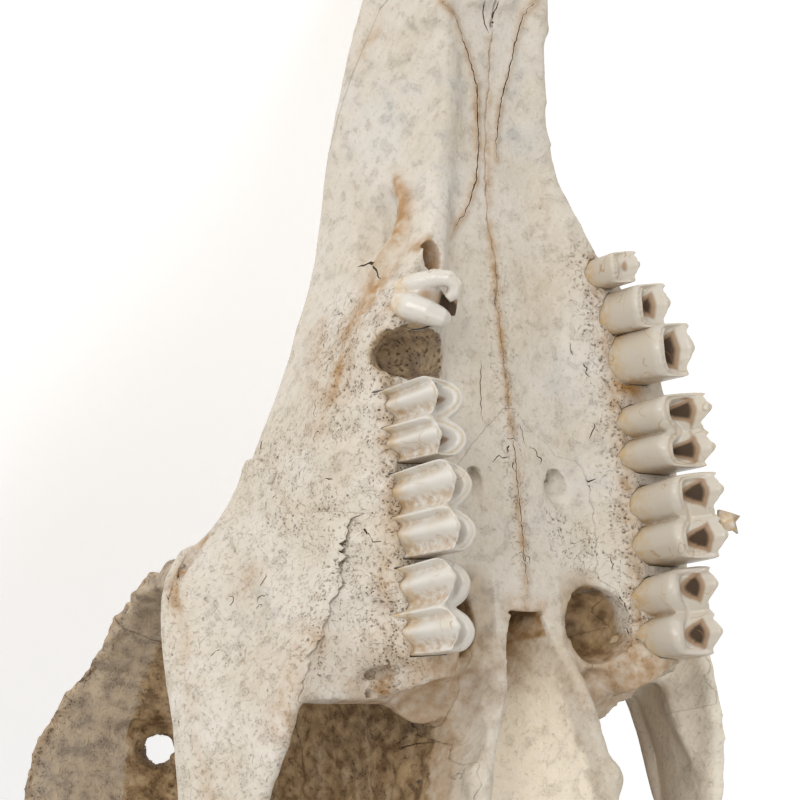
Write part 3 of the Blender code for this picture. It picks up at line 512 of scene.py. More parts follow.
palate_rows = (
    (34.8, -1.0, 1.4, -9.0, 3.2), (31.6, -4.0, 5.4, -9.0, 3.2), (30.2, -5.6, 7.0, -9.0, 3.2),
    (29.4, -7.6, 8.0, -9.0, 3.2), (26.9, -8.8, 10.2, -9.0, 3.2), (26.3, -13.4, 10.6, -9.0, 3.2),
    (24.6, -14.6, 12.6, -9.0, 3.2), (18.0, -15.4, 15.0, -9.0, 3.4), (6.0, -15.4, 15.4, -9.0, 3.6),
    (3.6, -17.6, 17.6, -9.0, 18.7), (-2.0, -19.4, 19.4, -9.0, 18.7), (-2.6, -12.4, 12.4, -9.0, 18.7),
    (-14.0, -13.6, 13.6, -9.0, 18.7), (-50.0, -17.5, 17.5, -9.0, 18.7))
midline_x = ((112, -0.5), (104, -0.5), (99, -0.2), (86.5, 0.8), (79, 1.2), (69.4, 1.4), (63.4, 1.0),
             (59.6, 0.3), (54.7, 1.1), (47, 0.9), (33, 0.1), (2, -0.1))

# The whole surface is kept, so that the relief on both sides of a suture moves the same way
whole_skull = bpy.data.objects.new("whole_skull", skull.data.copy())
bpy.context.scene.collection.objects.link(whole_skull)
outward = np.empty(len(whole_skull.data.vertices) * 3, np.float32)
whole_skull.data.vertex_normals.foreach_get("vector", outward)
whole_skull.data.attributes.new("outward", "FLOAT_VECTOR", "POINT").data.foreach_set("vector", outward)

bones = {}
for side, rows in (("right", nasal_rows), ("left", on_left(nasal_rows))):
    bones["nasal_" + side] = take_band("nasal_bone_" + side, rows, 0.0)
for side, sign in (("right", 1), ("left", -1)):
    bones["premaxilla_" + side] = take("premaxilla_bone_" + side, nose_region(sign, 0.0),
                                       nose_region(sign, suture_gap))
for side, rows in (("right", cheekbone_rows), ("left", on_left(cheekbone_rows))):
    bones["zygomatic_" + side] = take_band("cheekbone_" + side, rows, 0.9)
bones["frontal"] = take_band("forehead_bone", forehead_rows, 0.4)
for side, rows in (("right", lacrimal_rows), ("left", on_left(lacrimal_rows))):
    bones["lacrimal_" + side] = take_band("lacrimal_bone_" + side, rows, 0.4)
bones["palatine"] = take_band("palatine_bone", palate_rows, gap=0.06)
for side, sign in (("right", 1), ("left", -1)):
    rows = []
    for y in (*steps(115.0, 1.0, 3.0), -4.0, -14.8, -15.2, -20.0):
        inner, outer = sign * along(midline_x, y) + half_gap, 80.0 if y > -15.0 else 36.0
        rows.append((y, inner, outer, -20.0, 66.0 if y > 0 else 18.7))
    bones["maxilla_" + side] = take_band("upper_jaw_" + side, rows if sign > 0 else on_left(rows))
keep_largest(skull)
skull.name = "brain_case_bone"
bones["braincase"] = skull

# The surface of the bones
# Dry bone, bleached ivory by weather and stained ochre by soil, with painted shade in its hollows and
# painted light on the back of the choana and the far cheekbone. Its relief is worked out on a finer
# mesh on the side that faces up: ridges, root bulges, ragged edges, then grain and open pores.

view_side = Vector((0.633, -0.167, -0.756))

# Lines on the skull, in millimetres
incisive_right = ((11.6, 103.2, -5.2), (8.1, 100.6, -4.3), (5.5, 95.9, -3.1), (3.3, 90.2, -2.3),
                  (2.8, 80.1, -1.1), (3.7, 74, -0.6), (6.1, 68.7, 0), (10.3, 64, -0.8))
incisive_left = ((-9.3, 105.3, -5.1), (-7, 103, -4.1), (-5.5, 98.6, -3.4), (-3.9, 93.3, -2.8),
                 (-2.4, 89, -2.1), (-1.4, 83, -1.4), (-0.9, 77.8, -0.9))
infraorbital_crest = ((15.6, 74, 5), (16.2, 71.6, 4), (17.4, 67.8, 2.6), (19.1, 63.4, 2.8), (21.5, 59.5, 5))
cheek_suture = ((32.6, 29.6, 30.4), (34.3, 27.2, 22), (36, 23.3, 19.5), (37.6, 17.6, 14.3), (36, 17, 5.9),
                (35.9, 15.6, 4.5), (36.2, 8.4, 2.8), (39.1, 2.7, 3.6), (40, -2.7, 3.7), (42, -7.6, 4.4))
keel = ((36.2, 14, 4.5), (37, 7, 3), (40.7, -2, 3), (45.6, -13, 5), (48.4, -24, 9), (49.2, -30, 11.5))
orbit_groove = ((40, 17.5, 35), (43.2, 14.1, 35.5), (46.5, 9.2, 35.5), (48.3, 0, 31), (49.2, -8.9, 29.0),
                (50.3, -19.4, 25.1), (50.8, -26.2, 23.2), (51.5, -36, 20))
orbit_margin = ((40, 19.5, 37), (46, 11, 38.5), (49, 3, 37), (49.8, -6, 34.8), (51, -19, 32.4), (52, -28, 31))
alveolar_right = ((25.5, 51, -4), (29, 43, -4), (30.6, 30, -5), (31, 15, -5), (32.6, 2, -3), (30, -11, -1))
alveolar_left = ((-16.9, 60, -4.8), (-17.6, 52, -5), (-19, 43, -5), (-19.6, 30, -5), (-20.6, 14, -5),
                 (-20.2, -4, -4.6))

# (line, height in mm, reach in mm)
ridges = (
    (incisive_right, 0.35, 1.0), (incisive_left, 0.3, 0.9), (infraorbital_crest, 1.1, 1.5),
    (orbit_groove, -1.1, 1.0), (keel, 0.4, 2.2),
    (((0.6, 58, 0), (0.9, 47, 0), (0.1, 30, 0), (0, 4, 0)), 0.35, 1.6),
)
# (middle, reach, depth)
dents = (
    ((18.6, 70.0, 9.5), 5.0, 0.8), ((-8.5, 22.0, 0), 2.6, 1.0), ((9.2, 17.5, 0), 2.2, 0.8),
    ((31.0, 39.0, 4.0), 6.0, 0.7), ((45.5, -2.0, 23.0), 9.0, 1.3), ((13.4, 100.0, 2.5), 1.3, 1.2),
    ((46.9, -1.8, 27.4), 0.8, 1.2), ((28.5, 44.5, 9.0), 2.2, 0.8), ((3.5, 2.0, 0), 1.2, 0.5),
)
# (line, reach, strength)
porous_paths = (
    (alveolar_right, 6.0, 0.9), (((25, 48, 12), (29, 43, 6), (33, 36, 4)), 8.0, 1.0),
    (alveolar_left, 4.0, 1.0), (cheek_suture, 5.0, 0.7), (((0.6, 58, 0), (0.9, 47, 0), (0.1, 10, 0)), 3.0, 0.5),
    (((32, 30, 20), (33, 12, 4)), 9.0, 0.7), (((16.3, 69, 7), (17, 66, 6)), 2.0, 0.9),
    (((-8, 14, 0), (-15, 10, -1)), 4.0, 0.8), (((40, 5, 14), (43, -6, 14)), 5.0, 0.4),
)
ochre_paths = (
    (infraorbital_crest, 2.2, 0.8), (((22, 58, 4), (25, 52, 3), (27, 47, 6), (31, 38, 7)), 4.5, 0.8),
    (((26, 52, 20), (30, 40, 12), (33, 33, 10)), 4.0, 0.45), (orbit_groove, 1.3, 0.9),
    (((41, -4, 6), (47, -18, 8)), 3.0, 0.5), (incisive_right, 0.9, 0.75), (incisive_left, 0.8, 0.6),
    (((0, 100, -4), (1.0, 70, 0), (0.8, 47, 0), (0.1, 33, 0), (0, 3, 0)), 0.9, 0.7),
    (((31.4, -10, 0), (31, -13.2, 2)), 2.4, 1.0),
    (alveolar_left, 1.6, 0.6), (alveolar_right, 2.0, 0.5), (((31.5, -10, 0), (24, -14, 0)), 3.0, 0.5),
    (((-2, 1, 0), (3, 1, 0)), 2.2, 0.9), (((46.2, -1.4, 27), (46.9, -2.2, 27.4)), 0.9, 1.0),
    (((41.5, 9, 20), (42.5, 6, 22)), 2.0, 0.5), (((12.9, 104, 9), (14.5, 98, 15)), 1.5, 0.5),
    (((-20, 39, -4.6), (-24, 38, -4.6)), 2.0, 1.0),
)
cool_spots = (
    ((17.4, 46.5, -4.6), 8), ((-11.5, 40, 0), 9), ((0, 16, 0), 7), ((-15.4, 24.7, -1.3), 6),
    ((13.4, 76.7, -1), 9), ((14.7, 86, 10), 12), ((42.6, 6.8, 22.4), 5.5), ((40, 0, 16), 8),
    ((14.4, -15, 46.7), 7), ((-6.5, 92, -2), 6), ((-7, 82, -1), 6), ((8, 90, -1), 7), ((50, -15, 72), 9),
)


def distance_to(points, path):
    """Distance of each point to a line through a few points, in millimetres."""
    nearest = np.full(len(points), 1e9)
    for start, end in zip(path, path[1:]):
        step = np.subtract(end, start)
        share = np.clip((points - start) @ step / (step @ step), 0.0, 1.0)
        nearest = np.minimum(nearest, np.linalg.norm(points - start - share[:, None] * step, axis=1))
    return nearest


def near_paths(points, paths):
    """Strongest nearness to any of the paths of (points, reach, strength)."""
    strongest = np.zeros(len(points))
    for path, reach, strength in paths:
        strongest = np.maximum(strongest, strength * np.exp(-(distance_to(points, path) / reach) ** 2))
    return strongest


def uneven(points, size, seed):
    """Smooth random value at each point, from features of the given size in millimetres."""
    shifted = (points / size + seed * 17.0).tolist()
    return np.array([noise.noise(point) for point in shifted])


def store(mesh, name, values):
    """Keep one value a vertex on the mesh under a name."""
    if name in mesh.attributes:
        mesh.attributes.remove(mesh.attributes[name])
    mesh.attributes.new(name, "FLOAT", "POINT").data.foreach_set("value", values.astype(np.float32))


def points_of(mesh):
    """Places and normals of the mesh's vertices as arrays."""
    places = np.empty(len(mesh.vertices) * 3, np.float32)
    mesh.vertices.foreach_get("co", places)
    normals = np.empty(len(mesh.vertices) * 3, np.float32)
    mesh.vertex_normals.foreach_get("vector", normals)
    return places.reshape(-1, 3).astype(float), normals.reshape(-1, 3).astype(float)


def refine(piece, longest, back=-42.0):
    """Halve the long edges of the faces that look up from the floor, in front of the brain case."""
    bm = bmesh.new()
    bm.from_mesh(piece.data)
    bmesh.ops.triangulate(bm, faces=bm.faces)
    bm.normal_update()
    points = [vertex.co.copy() for vertex in bm.verts]
    middles = {}
    for face in bm.faces:
        if face.normal.dot(view_side) > -0.2 and back < face.calc_center_median().y < 118.0:
            for edge in face.edges:
                ends = frozenset(vertex.index for vertex in edge.verts)
                if edge.calc_length() > longest and ends not in middles:
                    middles[ends] = len(points)
                    points.append((edge.verts[0].co + edge.verts[1].co) / 2)
    faces = []
    for face in bm.faces:
        a, b, c = (vertex.index for vertex in face.verts)
        for _ in range(3):
            ab, bc, ca = (middles.get(frozenset(ends)) for ends in ((a, b), (b, c), (c, a)))
            if ab is not None and (ca is None or bc is not None):
                break
            a, b, c = b, c, a
        if ab is None:
            faces.append((a, b, c))
        elif bc is None:
            faces += [(a, ab, c), (ab, b, c)]
        elif ca is None:
            faces += [(a, ab, bc), (ab, b, bc), (a, bc, c)]
        else:
            faces += [(a, ab, ca), (ab, b, bc), (ca, bc, c), (ab, bc, ca)]
    bm.free()
    piece.data.clear_geometry()
    piece.data.from_pydata(points, [], faces)


def soften(piece, iterations, sharp=0.8):
    """Even out small steps in the mesh, but leave its sharp edges where they are."""
    bm = bmesh.new()
    bm.from_mesh(piece.data)
    pinned = {vertex.index for edge in bm.edges if edge.calc_face_angle(0.0) > sharp for vertex in edge.verts}
    free = [vertex.index for vertex in bm.verts if vertex.index not in pinned]
    bm.free()
    piece.vertex_groups.new(name="free").add(free, 1.0, "REPLACE")
    modifier = piece.modifiers.new("soften", "SMOOTH")
    modifier.factor = 0.5
    modifier.iterations = iterations
    modifier.vertex_group = "free"
    settle_modifiers(piece)


def bump_at(distance, reach):
    """Round falloff of a feature with distance."""
    return np.exp(-(distance / reach) ** 2)


def mark_surface(piece, node_name):
    """Work out the piece's relief, where its bone is porous, ochre-stained or cool, and where shade and light are
    painted on it.
    """
    mesh = piece.data
    places, normals = points_of(mesh)
    x, y, z = places.T
    relief = np.zeros(len(places))
    for path, height, reach in ridges:
        relief += height * bump_at(distance_to(places, path), reach)
    for centre, reach, depth in dents:
        relief -= depth * bump_at(np.linalg.norm(places - centre, axis=1), reach)
    step = 0.7 if node_name == "zygomatic_right" else -0.25
    relief += step * bump_at(distance_to(places, cheek_suture), 2.6)
    for name, tooth_y, length, lobes in tooth_rows:
        for lobe in range(lobes):
            root_y = tooth_y + length * ((lobe + 0.5) / lobes - 0.5)
            bulge = np.exp(-((y - root_y) / (length / lobes * 0.34)) ** 2 - ((z - 1.0) / 6.0) ** 2)
            relief += 0.8 * bulge * (np.abs(x) > 27.0)
    edge = bump_at(np.minimum(distance_to(places, alveolar_right), distance_to(places, alveolar_left)), 2.2)
    relief += edge * (0.6 * uneven(places, 1.5, 1.0) + 0.7 * uneven(places, 3.3, 9.0))
    brow = np.column_stack([np.interp(-y, [-row[0] for row in rim_x], [row[1] for row in rim_x]),
                            np.interp(-y, [-row[0] for row in rim_z], [row[1] for row in rim_z])])
    brow_edge = bump_at(np.hypot(np.abs(x) - brow[:, 0], z - brow[:, 1] + 2.0), 3.6) * (y < 16.0) * (y > -60.0)
    knobbly = 0.12 + 0.88 / (1.0 + np.exp(-(y + 5.0) / 1.5))
    relief += brow_edge * knobbly * (2.2 * uneven(places, 7.0, 2.0) + 1.3 * uneven(places, 2.2, 3.0))
    vaulted = (np.abs(x) < along_all(choana_x, y) + 0.3) * (z < 19.0)
    inside = (z > 10.0) * (y < 4.0) * (np.abs(x) < 36.0) * (np.abs(x) > 3.0) * (1.0 - vaulted)
    relief += inside * (0.7 * uneven(places, 4.0, 12.0) + 0.45 * uneven(places, 1.6, 13.0))
    relief += 0.3 * uneven(places, 11.0, 4.0) + 0.1 * uneven(places, 3.2, 5.0)
    patchy = 0.5 + 0.9 * uneven(places, 5.0, 6.0)
    in_socket = np.clip(9.0 - 8.0 * np.minimum(
        np.linalg.norm((places - (23.0, 42.3, -6)) / (7.0, 4.9, 10), axis=1),
        np.linalg.norm((places - (28.4, 42.0, -6)) / (3.6, 4.0, 5), axis=1)), 0, 1)
    in_socket *= (z > -4.7) * (node_name == "maxilla_right")
    small_socket = bump_at(np.linalg.norm((places - (18.0, 58.9, -5)) / (2.2, 3.2, 6.4), axis=1) - 0.9, 0.3)
    small_socket *= (z > -4.6) * (node_name == "maxilla_right")
    on_cheekbone = 0.35 * (x > 36.0) * (y < 26.0) * (z < 45.0)
    # Painted shade: the frontal and lacrimal bones, seen as the roof of the orbit, are painted dark as if in shade
    dark = 0.62 if node_name in ("frontal", "lacrimal_right", "lacrimal_left") else 0.0
    porous = np.maximum.reduce([near_paths(places, porous_paths), in_socket, 0.9 * brow_edge, on_cheekbone,
                                0.6 * inside, np.full(len(x), 0.5 * dark)])
    # Soil stain along the ochre paths, and also painted shade in the small socket, deep in the choana, at its front end
    # and on the rear of the palate
    ochre = near_paths(places, ochre_paths) * np.clip(patchy + 0.35, 0.0, 1.2) + 0.75 * small_socket
    in_choana = (np.abs(x) < along_all(choana_x, y)) * (y < 1.0) * (z > 0.8)
    deep_in = np.clip((z - 1.0) / 8.0, 0.0, 1.0)
    ochre = np.maximum(ochre, in_choana * deep_in * np.clip(0.95 + 0.075 * (y + 2.0), 0.06, 1.0))
    choana_end = (y > -3.5) * (z > 1.0) * (z < 19.0) * (np.abs(x) < 7.0)
    ochre = np.maximum(ochre, 1.0 * choana_end)
    notch = np.clip(2.4 - 1.6 * np.linalg.norm((np.abs(places) - (13.9, 1.6, 3.0)) / (6.5, 5.5, 8.0), axis=1), 0, 1)
    notch *= np.clip((z + 1.2) / 2.0, 0.0, 1.0) * (y < 8.0) * (np.abs(x) > 7.0)
    behind_jaw = bump_at(np.linalg.norm((np.abs(places) - (20, 9, 3)) / (11, 8, 9), axis=1), 1.1) * (y < -3.0) * 0.8
    # Painted shade on the rear of the palate, stronger where it lies deeper
    rear_palate = (y < -8.0) * (x > 8.0) * (x < 36.0) * np.clip((z - 1.5) / 5.0, 0.0, 1.0)
    # Painted shade in the orbits, the sockets, the palatine notches, the front of the choana and other deep hollows
    shade = np.maximum.reduce([np.full(len(x), dark), 0.95 * inside * np.clip(0.75 + patchy * 0.5, 0, 1),
                               0.8 * in_socket, 0.95 * notch, 0.15 * behind_jaw, 0.8 * brow_edge, 0.5 * choana_end,
                               0.2 * rear_palate])
    ochre = np.maximum.reduce([ochre, behind_jaw, 0.6 * rear_palate])
    shade *= 1.0 - in_choana * np.clip((-4.0 - y) / 4.0, 0.0, 1.0)
    cool = np.zeros(len(x))
    for centre, reach in cool_spots:
        cool = np.maximum(cool, bump_at(np.linalg.norm(places - centre, axis=1), reach))
    # Painted light: the back of the choana and the far left cheekbone are painted paler, as if more brightly lit
    pale = in_choana * np.clip((-5.0 - y) / 9.0, 0.0, 1.0)
    pale = np.maximum(pale, (x < -37.0) * (y < 2.0) * (z < 34.0) * np.clip(0.9 + 0.8 * uneven(places, 5.0, 14.0), 0, 1))
    store(mesh, "pale", np.clip(pale, 0, 1))
    store(mesh, "relief", relief)
    store(mesh, "porous", np.clip(porous, 0, 1))
    store(mesh, "ochre", np.clip(ochre, 0, 1))
    store(mesh, "brown", np.clip(shade, 0, 1))
    store(mesh, "cool", np.clip(cool * (0.6 + 0.7 * uneven(places, 4.0, 8.0)), 0, 1))


def along_all(knots, values):
    """Straight interpolation through knots for many values at once."""
    return np.interp(-values, [-knot[0] for knot in knots], [knot[1] for knot in knots])


def add(tree, kind, inputs=(), **settings):
    """Add a node. Settings are its properties, and inputs are pairs of a socket and its value or link."""
    made = tree.nodes.new(kind)
    for key, value in settings.items():
        setattr(made, key, value)
    for socket, value in inputs:
        if isinstance(value, bpy.types.NodeSocket):
            tree.links.new(value, made.inputs[socket])
        else:
            made.inputs[socket].default_value = value
    return made


def weathering_tree():
    """Geometry Nodes that raise a piece by its relief and eat grain and open pores into it."""
    tree = bpy.data.node_groups.new("weathered_bone", "GeometryNodeTree")
    face = tree.interface
    face.new_socket("Geometry", in_out="INPUT", socket_type="NodeSocketGeometry")
    for name, value in (("Pore spacing mm", 1.0), ("Pore depth mm", 0.5), ("Grain depth mm", 0.14)):
        face.new_socket(name, in_out="INPUT", socket_type="NodeSocketFloat").default_value = value
    face.new_socket("Material", in_out="INPUT", socket_type="NodeSocketMaterial")
    face.new_socket("Geometry", in_out="OUTPUT", socket_type="NodeSocketGeometry")
    face.new_socket("Whole skull", in_out="INPUT", socket_type="NodeSocketObject")
    given = add(tree, "NodeGroupInput").outputs
    place = add(tree, "GeometryNodeInputPosition").outputs[0]
    relief = add(tree, "GeometryNodeInputNamedAttribute", [("Name", "relief")], data_type="FLOAT").outputs[0]
    porous = add(tree, "GeometryNodeInputNamedAttribute", [("Name", "porous")], data_type="FLOAT").outputs[0]
    density = add(tree, "ShaderNodeMath", [(0, 1.0), (1, given["Pore spacing mm"])], operation="DIVIDE")
    cells = add(tree, "ShaderNodeTexVoronoi", [("Vector", place), ("Scale", density.outputs[0])])
    patches = add(tree, "ShaderNodeTexNoise", [("Vector", place), ("Scale", 0.45), ("Detail", 2.0)])
    chance = add(tree, "ShaderNodeMath", [(0, patches.outputs[0]), (1, porous)], operation="MULTIPLY")
    width = add(tree, "ShaderNodeMapRange", [("Value", chance.outputs[0]), ("From Min", 0.12),
                                             ("From Max", 0.6), ("To Min", 0.0), ("To Max", 0.40)])
    inner = add(tree, "ShaderNodeMath", [(0, width.outputs[0]), (1, 0.55)], operation="MULTIPLY")
    pit = add(tree, "ShaderNodeMapRange", [
        ("Value", cells.outputs["Distance"]), ("From Min", width.outputs[0]),
        ("From Max", inner.outputs[0])], interpolation_type="SMOOTHSTEP")
    open_here = add(tree, "ShaderNodeMath", [(0, width.outputs[0]), (1, 0.03)], operation="GREATER_THAN")
    pore = add(tree, "ShaderNodeMath", [(0, pit.outputs[0]), (1, open_here.outputs[0])], operation="MULTIPLY")
    sunk = add(tree, "ShaderNodeMath", [(0, pore.outputs[0]), (1, given["Pore depth mm"])], operation="MULTIPLY")
    grain = add(tree, "ShaderNodeTexNoise", [("Vector", place), ("Scale", 1.1), ("Detail", 3.0)])
    centred = add(tree, "ShaderNodeMath", [(0, grain.outputs[0]), (1, 0.5)], operation="SUBTRACT")
    rough = add(tree, "ShaderNodeMath", [(0, porous), (1, 2.2), (2, 0.6)], operation="MULTIPLY_ADD")
    grained = add(tree, "ShaderNodeMath", [(0, centred.outputs[0]), (1, rough.outputs[0])], operation="MULTIPLY")
    height = add(tree, "ShaderNodeMath", [(0, grained.outputs[0]), (1, given["Grain depth mm"]), (2, relief)],
                 operation="MULTIPLY_ADD")
    total = add(tree, "ShaderNodeMath", [(0, height.outputs[0]), (1, sunk.outputs[0])], operation="SUBTRACT")
    whole = add(tree, "GeometryNodeObjectInfo", [("Object", given["Whole skull"])])
    kept = add(tree, "GeometryNodeInputNamedAttribute", [("Name", "outward")], data_type="FLOAT_VECTOR")
    outward = add(tree, "GeometryNodeSampleNearestSurface", [
        ("Mesh", whole.outputs["Geometry"]), ("Value", kept.outputs[0])], data_type="FLOAT_VECTOR").outputs[0]
    offset = add(tree, "ShaderNodeVectorMath", [(0, outward), ("Scale", total.outputs[0])], operation="SCALE")
    marked = add(tree, "GeometryNodeStoreNamedAttribute", [
        ("Geometry", given["Geometry"]), ("Name", "pore"), ("Value", pore.outputs[0])],
        data_type="FLOAT", domain="POINT")
    moved = add(tree, "GeometryNodeSetPosition", [("Geometry", marked.outputs[0]), ("Offset", offset.outputs[0])])
    real = add(tree, "GeometryNodeRealizeInstances", [("Geometry", moved.outputs[0])])
    painted = add(tree, "GeometryNodeSetMaterial", [("Geometry", real.outputs[0]), ("Material", given["Material"])])
    add(tree, "NodeGroupOutput", [("Geometry", painted.outputs[0])])
    return tree


def run_tree(piece, tree, **values):
    """Apply a Geometry Nodes tree with named inputs; an underscore stands for a space in a name."""
    modifier = piece.modifiers.new(tree.name, "NODES")
    modifier.node_group = tree
    for item in tree.interface.items_tree:
        if item.in_out == "INPUT" and item.name.replace(" ", "_") in values:
            modifier[item.identifier] = values[item.name.replace(" ", "_")]
    settle_modifiers(piece)


def colour(code):
    """Linear colour of an sRGB hex value."""
    parts = [int(code[i:i + 2], 16) / 255 for i in (0, 2, 4)]
    return tuple(c / 12.92 if c < 0.04045 else ((c + 0.055) / 1.055) ** 2.4 for c in parts) + (1.0,)


def tint(tree, share, below, above):
    """Mix two colours or colour sockets by a share."""
    mixed = add(tree, "ShaderNodeMix", [("Factor", share), (6, below), (7, above)], data_type="RGBA")
    return mixed.outputs[2]


def level(tree, value, low, high, to=1.0):
    """Spread a value between two limits to 0 and another value."""
    return add(tree, "ShaderNodeMapRange", [("Value", value), ("From Min", low), ("From Max", high),
                                            ("To Max", to)]).outputs[0]


def times(tree, value, other):
    """Product of two values."""
    return add(tree, "ShaderNodeMath", [(0, value), (1, other)], operation="MULTIPLY").outputs[0]


def weathered_bone():
    """Dry cleaned bone: ivory, chalky and matt, so its soft mottling carries it, with ochre stain, painted shade in its
    pores and hollows and painted light on its far side.
    """
    material = bpy.data.materials.new("weathered_bone")
    material.use_nodes = True
    tree = material.node_tree
    shader = tree.nodes["Principled BSDF"]
    place = add(tree, "ShaderNodeTexCoord").outputs["Object"]
    fibres = add(tree, "ShaderNodeMapping", [("Vector", place), ("Rotation", (skull_pitch, 0.0, 0.0)),
                                             ("Scale", (1.0, 0.16, 1.0))]).outputs[0]
    masks = {name: add(tree, "ShaderNodeAttribute", attribute_name=name).outputs["Fac"]
             for name in ("porous", "ochre", "brown", "cool", "pore", "pale")}
    blotch = add(tree, "ShaderNodeTexNoise", [("Vector", place), ("Scale", 75.0), ("Detail", 3.0)]).outputs[0]
    mottle = add(tree, "ShaderNodeTexNoise", [("Vector", place), ("Scale", 420.0), ("Detail", 4.0)]).outputs[0]
    speck = add(tree, "ShaderNodeTexNoise", [("Vector", place), ("Scale", 1500.0), ("Detail", 2.0)]).outputs[0]
    streak = add(tree, "ShaderNodeTexNoise", [("Vector", fibres), ("Scale", 1100.0), ("Detail", 3.0)]).outputs[0]
    pinholes = add(tree, "ShaderNodeTexVoronoi", [("Vector", place), ("Scale", 1500.0)]).outputs["Distance"]
    warped = add(tree, "ShaderNodeMixRGB", [(0, 0.06), (1, place), (2, add(
        tree, "ShaderNodeTexNoise", [("Vector", place), ("Scale", 300.0), ("Detail", 3.0)]).outputs["Color"])],
        blend_type="LINEAR_LIGHT").outputs[0]
    crackle = add(tree, "ShaderNodeTexVoronoi", [("Vector", warped), ("Scale", 190.0)],
                  feature="DISTANCE_TO_EDGE").outputs["Distance"]
    hairline = times(tree, level(tree, crackle, 0.016, 0.004), level(tree, mottle, 0.56, 0.63))
    vessel = add(tree, "ShaderNodeTexNoise", [("Vector", place), ("Scale", 520.0), ("Detail", 2.0),
                                              ("Distortion", 0.8)]).outputs[0]
    middle = add(tree, "ShaderNodeMath", [(0, vessel), (1, 0.5)], operation="SUBTRACT").outputs[0]
    middle = add(tree, "ShaderNodeMath", [(0, middle)], operation="ABSOLUTE").outputs[0]
    vessels = times(tree, level(tree, middle, 0.02, 0.004), times(tree, level(tree, speck, 0.42, 0.6),
                    level(tree, masks["porous"], 0.05, 0.5)))
    base = tint(tree, level(tree, blotch, 0.35, 0.68), colour("CFC7BB"), colour("C5B9A6"))
    base = tint(tree, level(tree, mottle, 0.42, 0.74, 0.22), base, colour("B5A285"))
    # Painted light: paler where the painted light mask is set
    base = tint(tree, times(tree, masks["pale"], 0.85), base, colour("EFE4D0"))
    base = tint(tree, level(tree, streak, 0.42, 0.66, 0.3), base, colour("DAD4C9"))
    base = tint(tree, times(tree, masks["cool"], level(tree, mottle, 0.25, 0.6, 0.5)), base, colour("B4B5B4"))
    # Ochre soil stain, with painted shade where the same mask covers deep hollows
    stain_and_shade = times(tree, masks["ochre"], level(tree, mottle, 0.22, 0.55, 1.0))
    base = tint(tree, stain_and_shade, base, colour("A67D4A"))
    # Painted shade colour, laid on where the painted shade mask is set
    painted_shade_colour = tint(tree, level(tree, mottle, 0.36, 0.66), colour("A98D66"), colour("6E5230"))
    painted_shade_colour = tint(tree, level(tree, blotch, 0.55, 0.75, 0.35), painted_shade_colour, colour("9F988D"))
    base = tint(tree, masks["brown"], base, painted_shade_colour)
    base = tint(tree, level(tree, speck, 0.58, 0.74, 0.3), base, colour("937A54"))
    base = tint(tree, level(tree, streak, 0.62, 0.82, 0.3), base, colour("94794F"))
    holes = times(tree, level(tree, pinholes, 0.30, 0.16), times(tree, level(tree, masks["porous"], 0.15, 0.8),
                                                                 level(tree, mottle, 0.47, 0.58)))
    base = tint(tree, times(tree, hairline, 0.75), base, colour("6A5030"))
    base = tint(tree, times(tree, vessels, 0.45), base, colour("8A6A42"))
    base = tint(tree, times(tree, holes, 0.8), base, colour("5F4626"))
    # Painted shade at the bottom of each open pore
    base = tint(tree, times(tree, masks["pore"], 0.8), base, colour("553D1C"))
    tree.links.new(base, shader.inputs["Base Color"])
    shader.inputs["Roughness"].default_value = 0.62
    shader.inputs["IOR"].default_value = 1.5
    shader.inputs["Specular IOR Level"].default_value = 0.35
    shader.inputs["Subsurface Weight"].default_value = 0.06
    shader.inputs["Subsurface Radius"].default_value = (0.0016, 0.0011, 0.0007)
    height = add(tree, "ShaderNodeMath", [(0, streak), (1, 0.5), (2, mottle)], operation="MULTIPLY_ADD").outputs[0]
    height = add(tree, "ShaderNodeMath", [(0, speck), (1, 0.35), (2, height)], operation="MULTIPLY_ADD").outputs[0]
    height = add(tree, "ShaderNodeMath", [(0, holes), (1, -1.4), (2, height)], operation="MULTIPLY_ADD").outputs[0]
    height = add(tree, "ShaderNodeMath", [(0, hairline), (1, -1.2), (2, height)], operation="MULTIPLY_ADD").outputs[0]
    height = add(tree, "ShaderNodeMath", [(0, vessels), (1, -0.8), (2, height)], operation="MULTIPLY_ADD").outputs[0]
    bump = add(tree, "ShaderNodeBump", [("Height", height), ("Strength", 0.7), ("Distance", 0.0004)])
    tree.links.new(bump.outputs[0], shader.inputs["Normal"])
    return material


# The turn that lays the skull on its nose and horn tips, and its place on the floor, as in the frame
skull_pitch = math.radians(49.11)
skull_back = -94.1657
skull_lift = 105.7475
lay_down = (Matrix.Scale(0.001, 4) @ Matrix.Translation((0.0, skull_back, skull_lift))
            @ Matrix(((1, 0, 0, 0), (0, -math.cos(skull_pitch), math.sin(skull_pitch), 0),
                      (0, -math.sin(skull_pitch), -math.cos(skull_pitch), 0), (0, 0, 0, 1))))


def finish_piece(piece, slot_name, *nodes):
    """Lay a piece down in its place, shade it smoothly and tie it to the frame."""
    piece.data.transform(lay_down)
    piece.data.shade_smooth()
    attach(piece, "root")
    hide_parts(*nodes)


# Cheek teeth of one side: name, place along the jaw, length, lobes
tooth_rows = (("second_premolar", 58.2, 5.8, 1), ("third_premolar", 51.3, 8.1, 1),
              ("fourth_premolar", 43.5, 9.8, 1), ("first_molar", 29.7, 13.6, 2),
              ("second_molar", 14.8, 15.7, 2), ("third_molar", -1.0, 16.2, 2))
lost_on_right = ("second_premolar", "fourth_premolar")

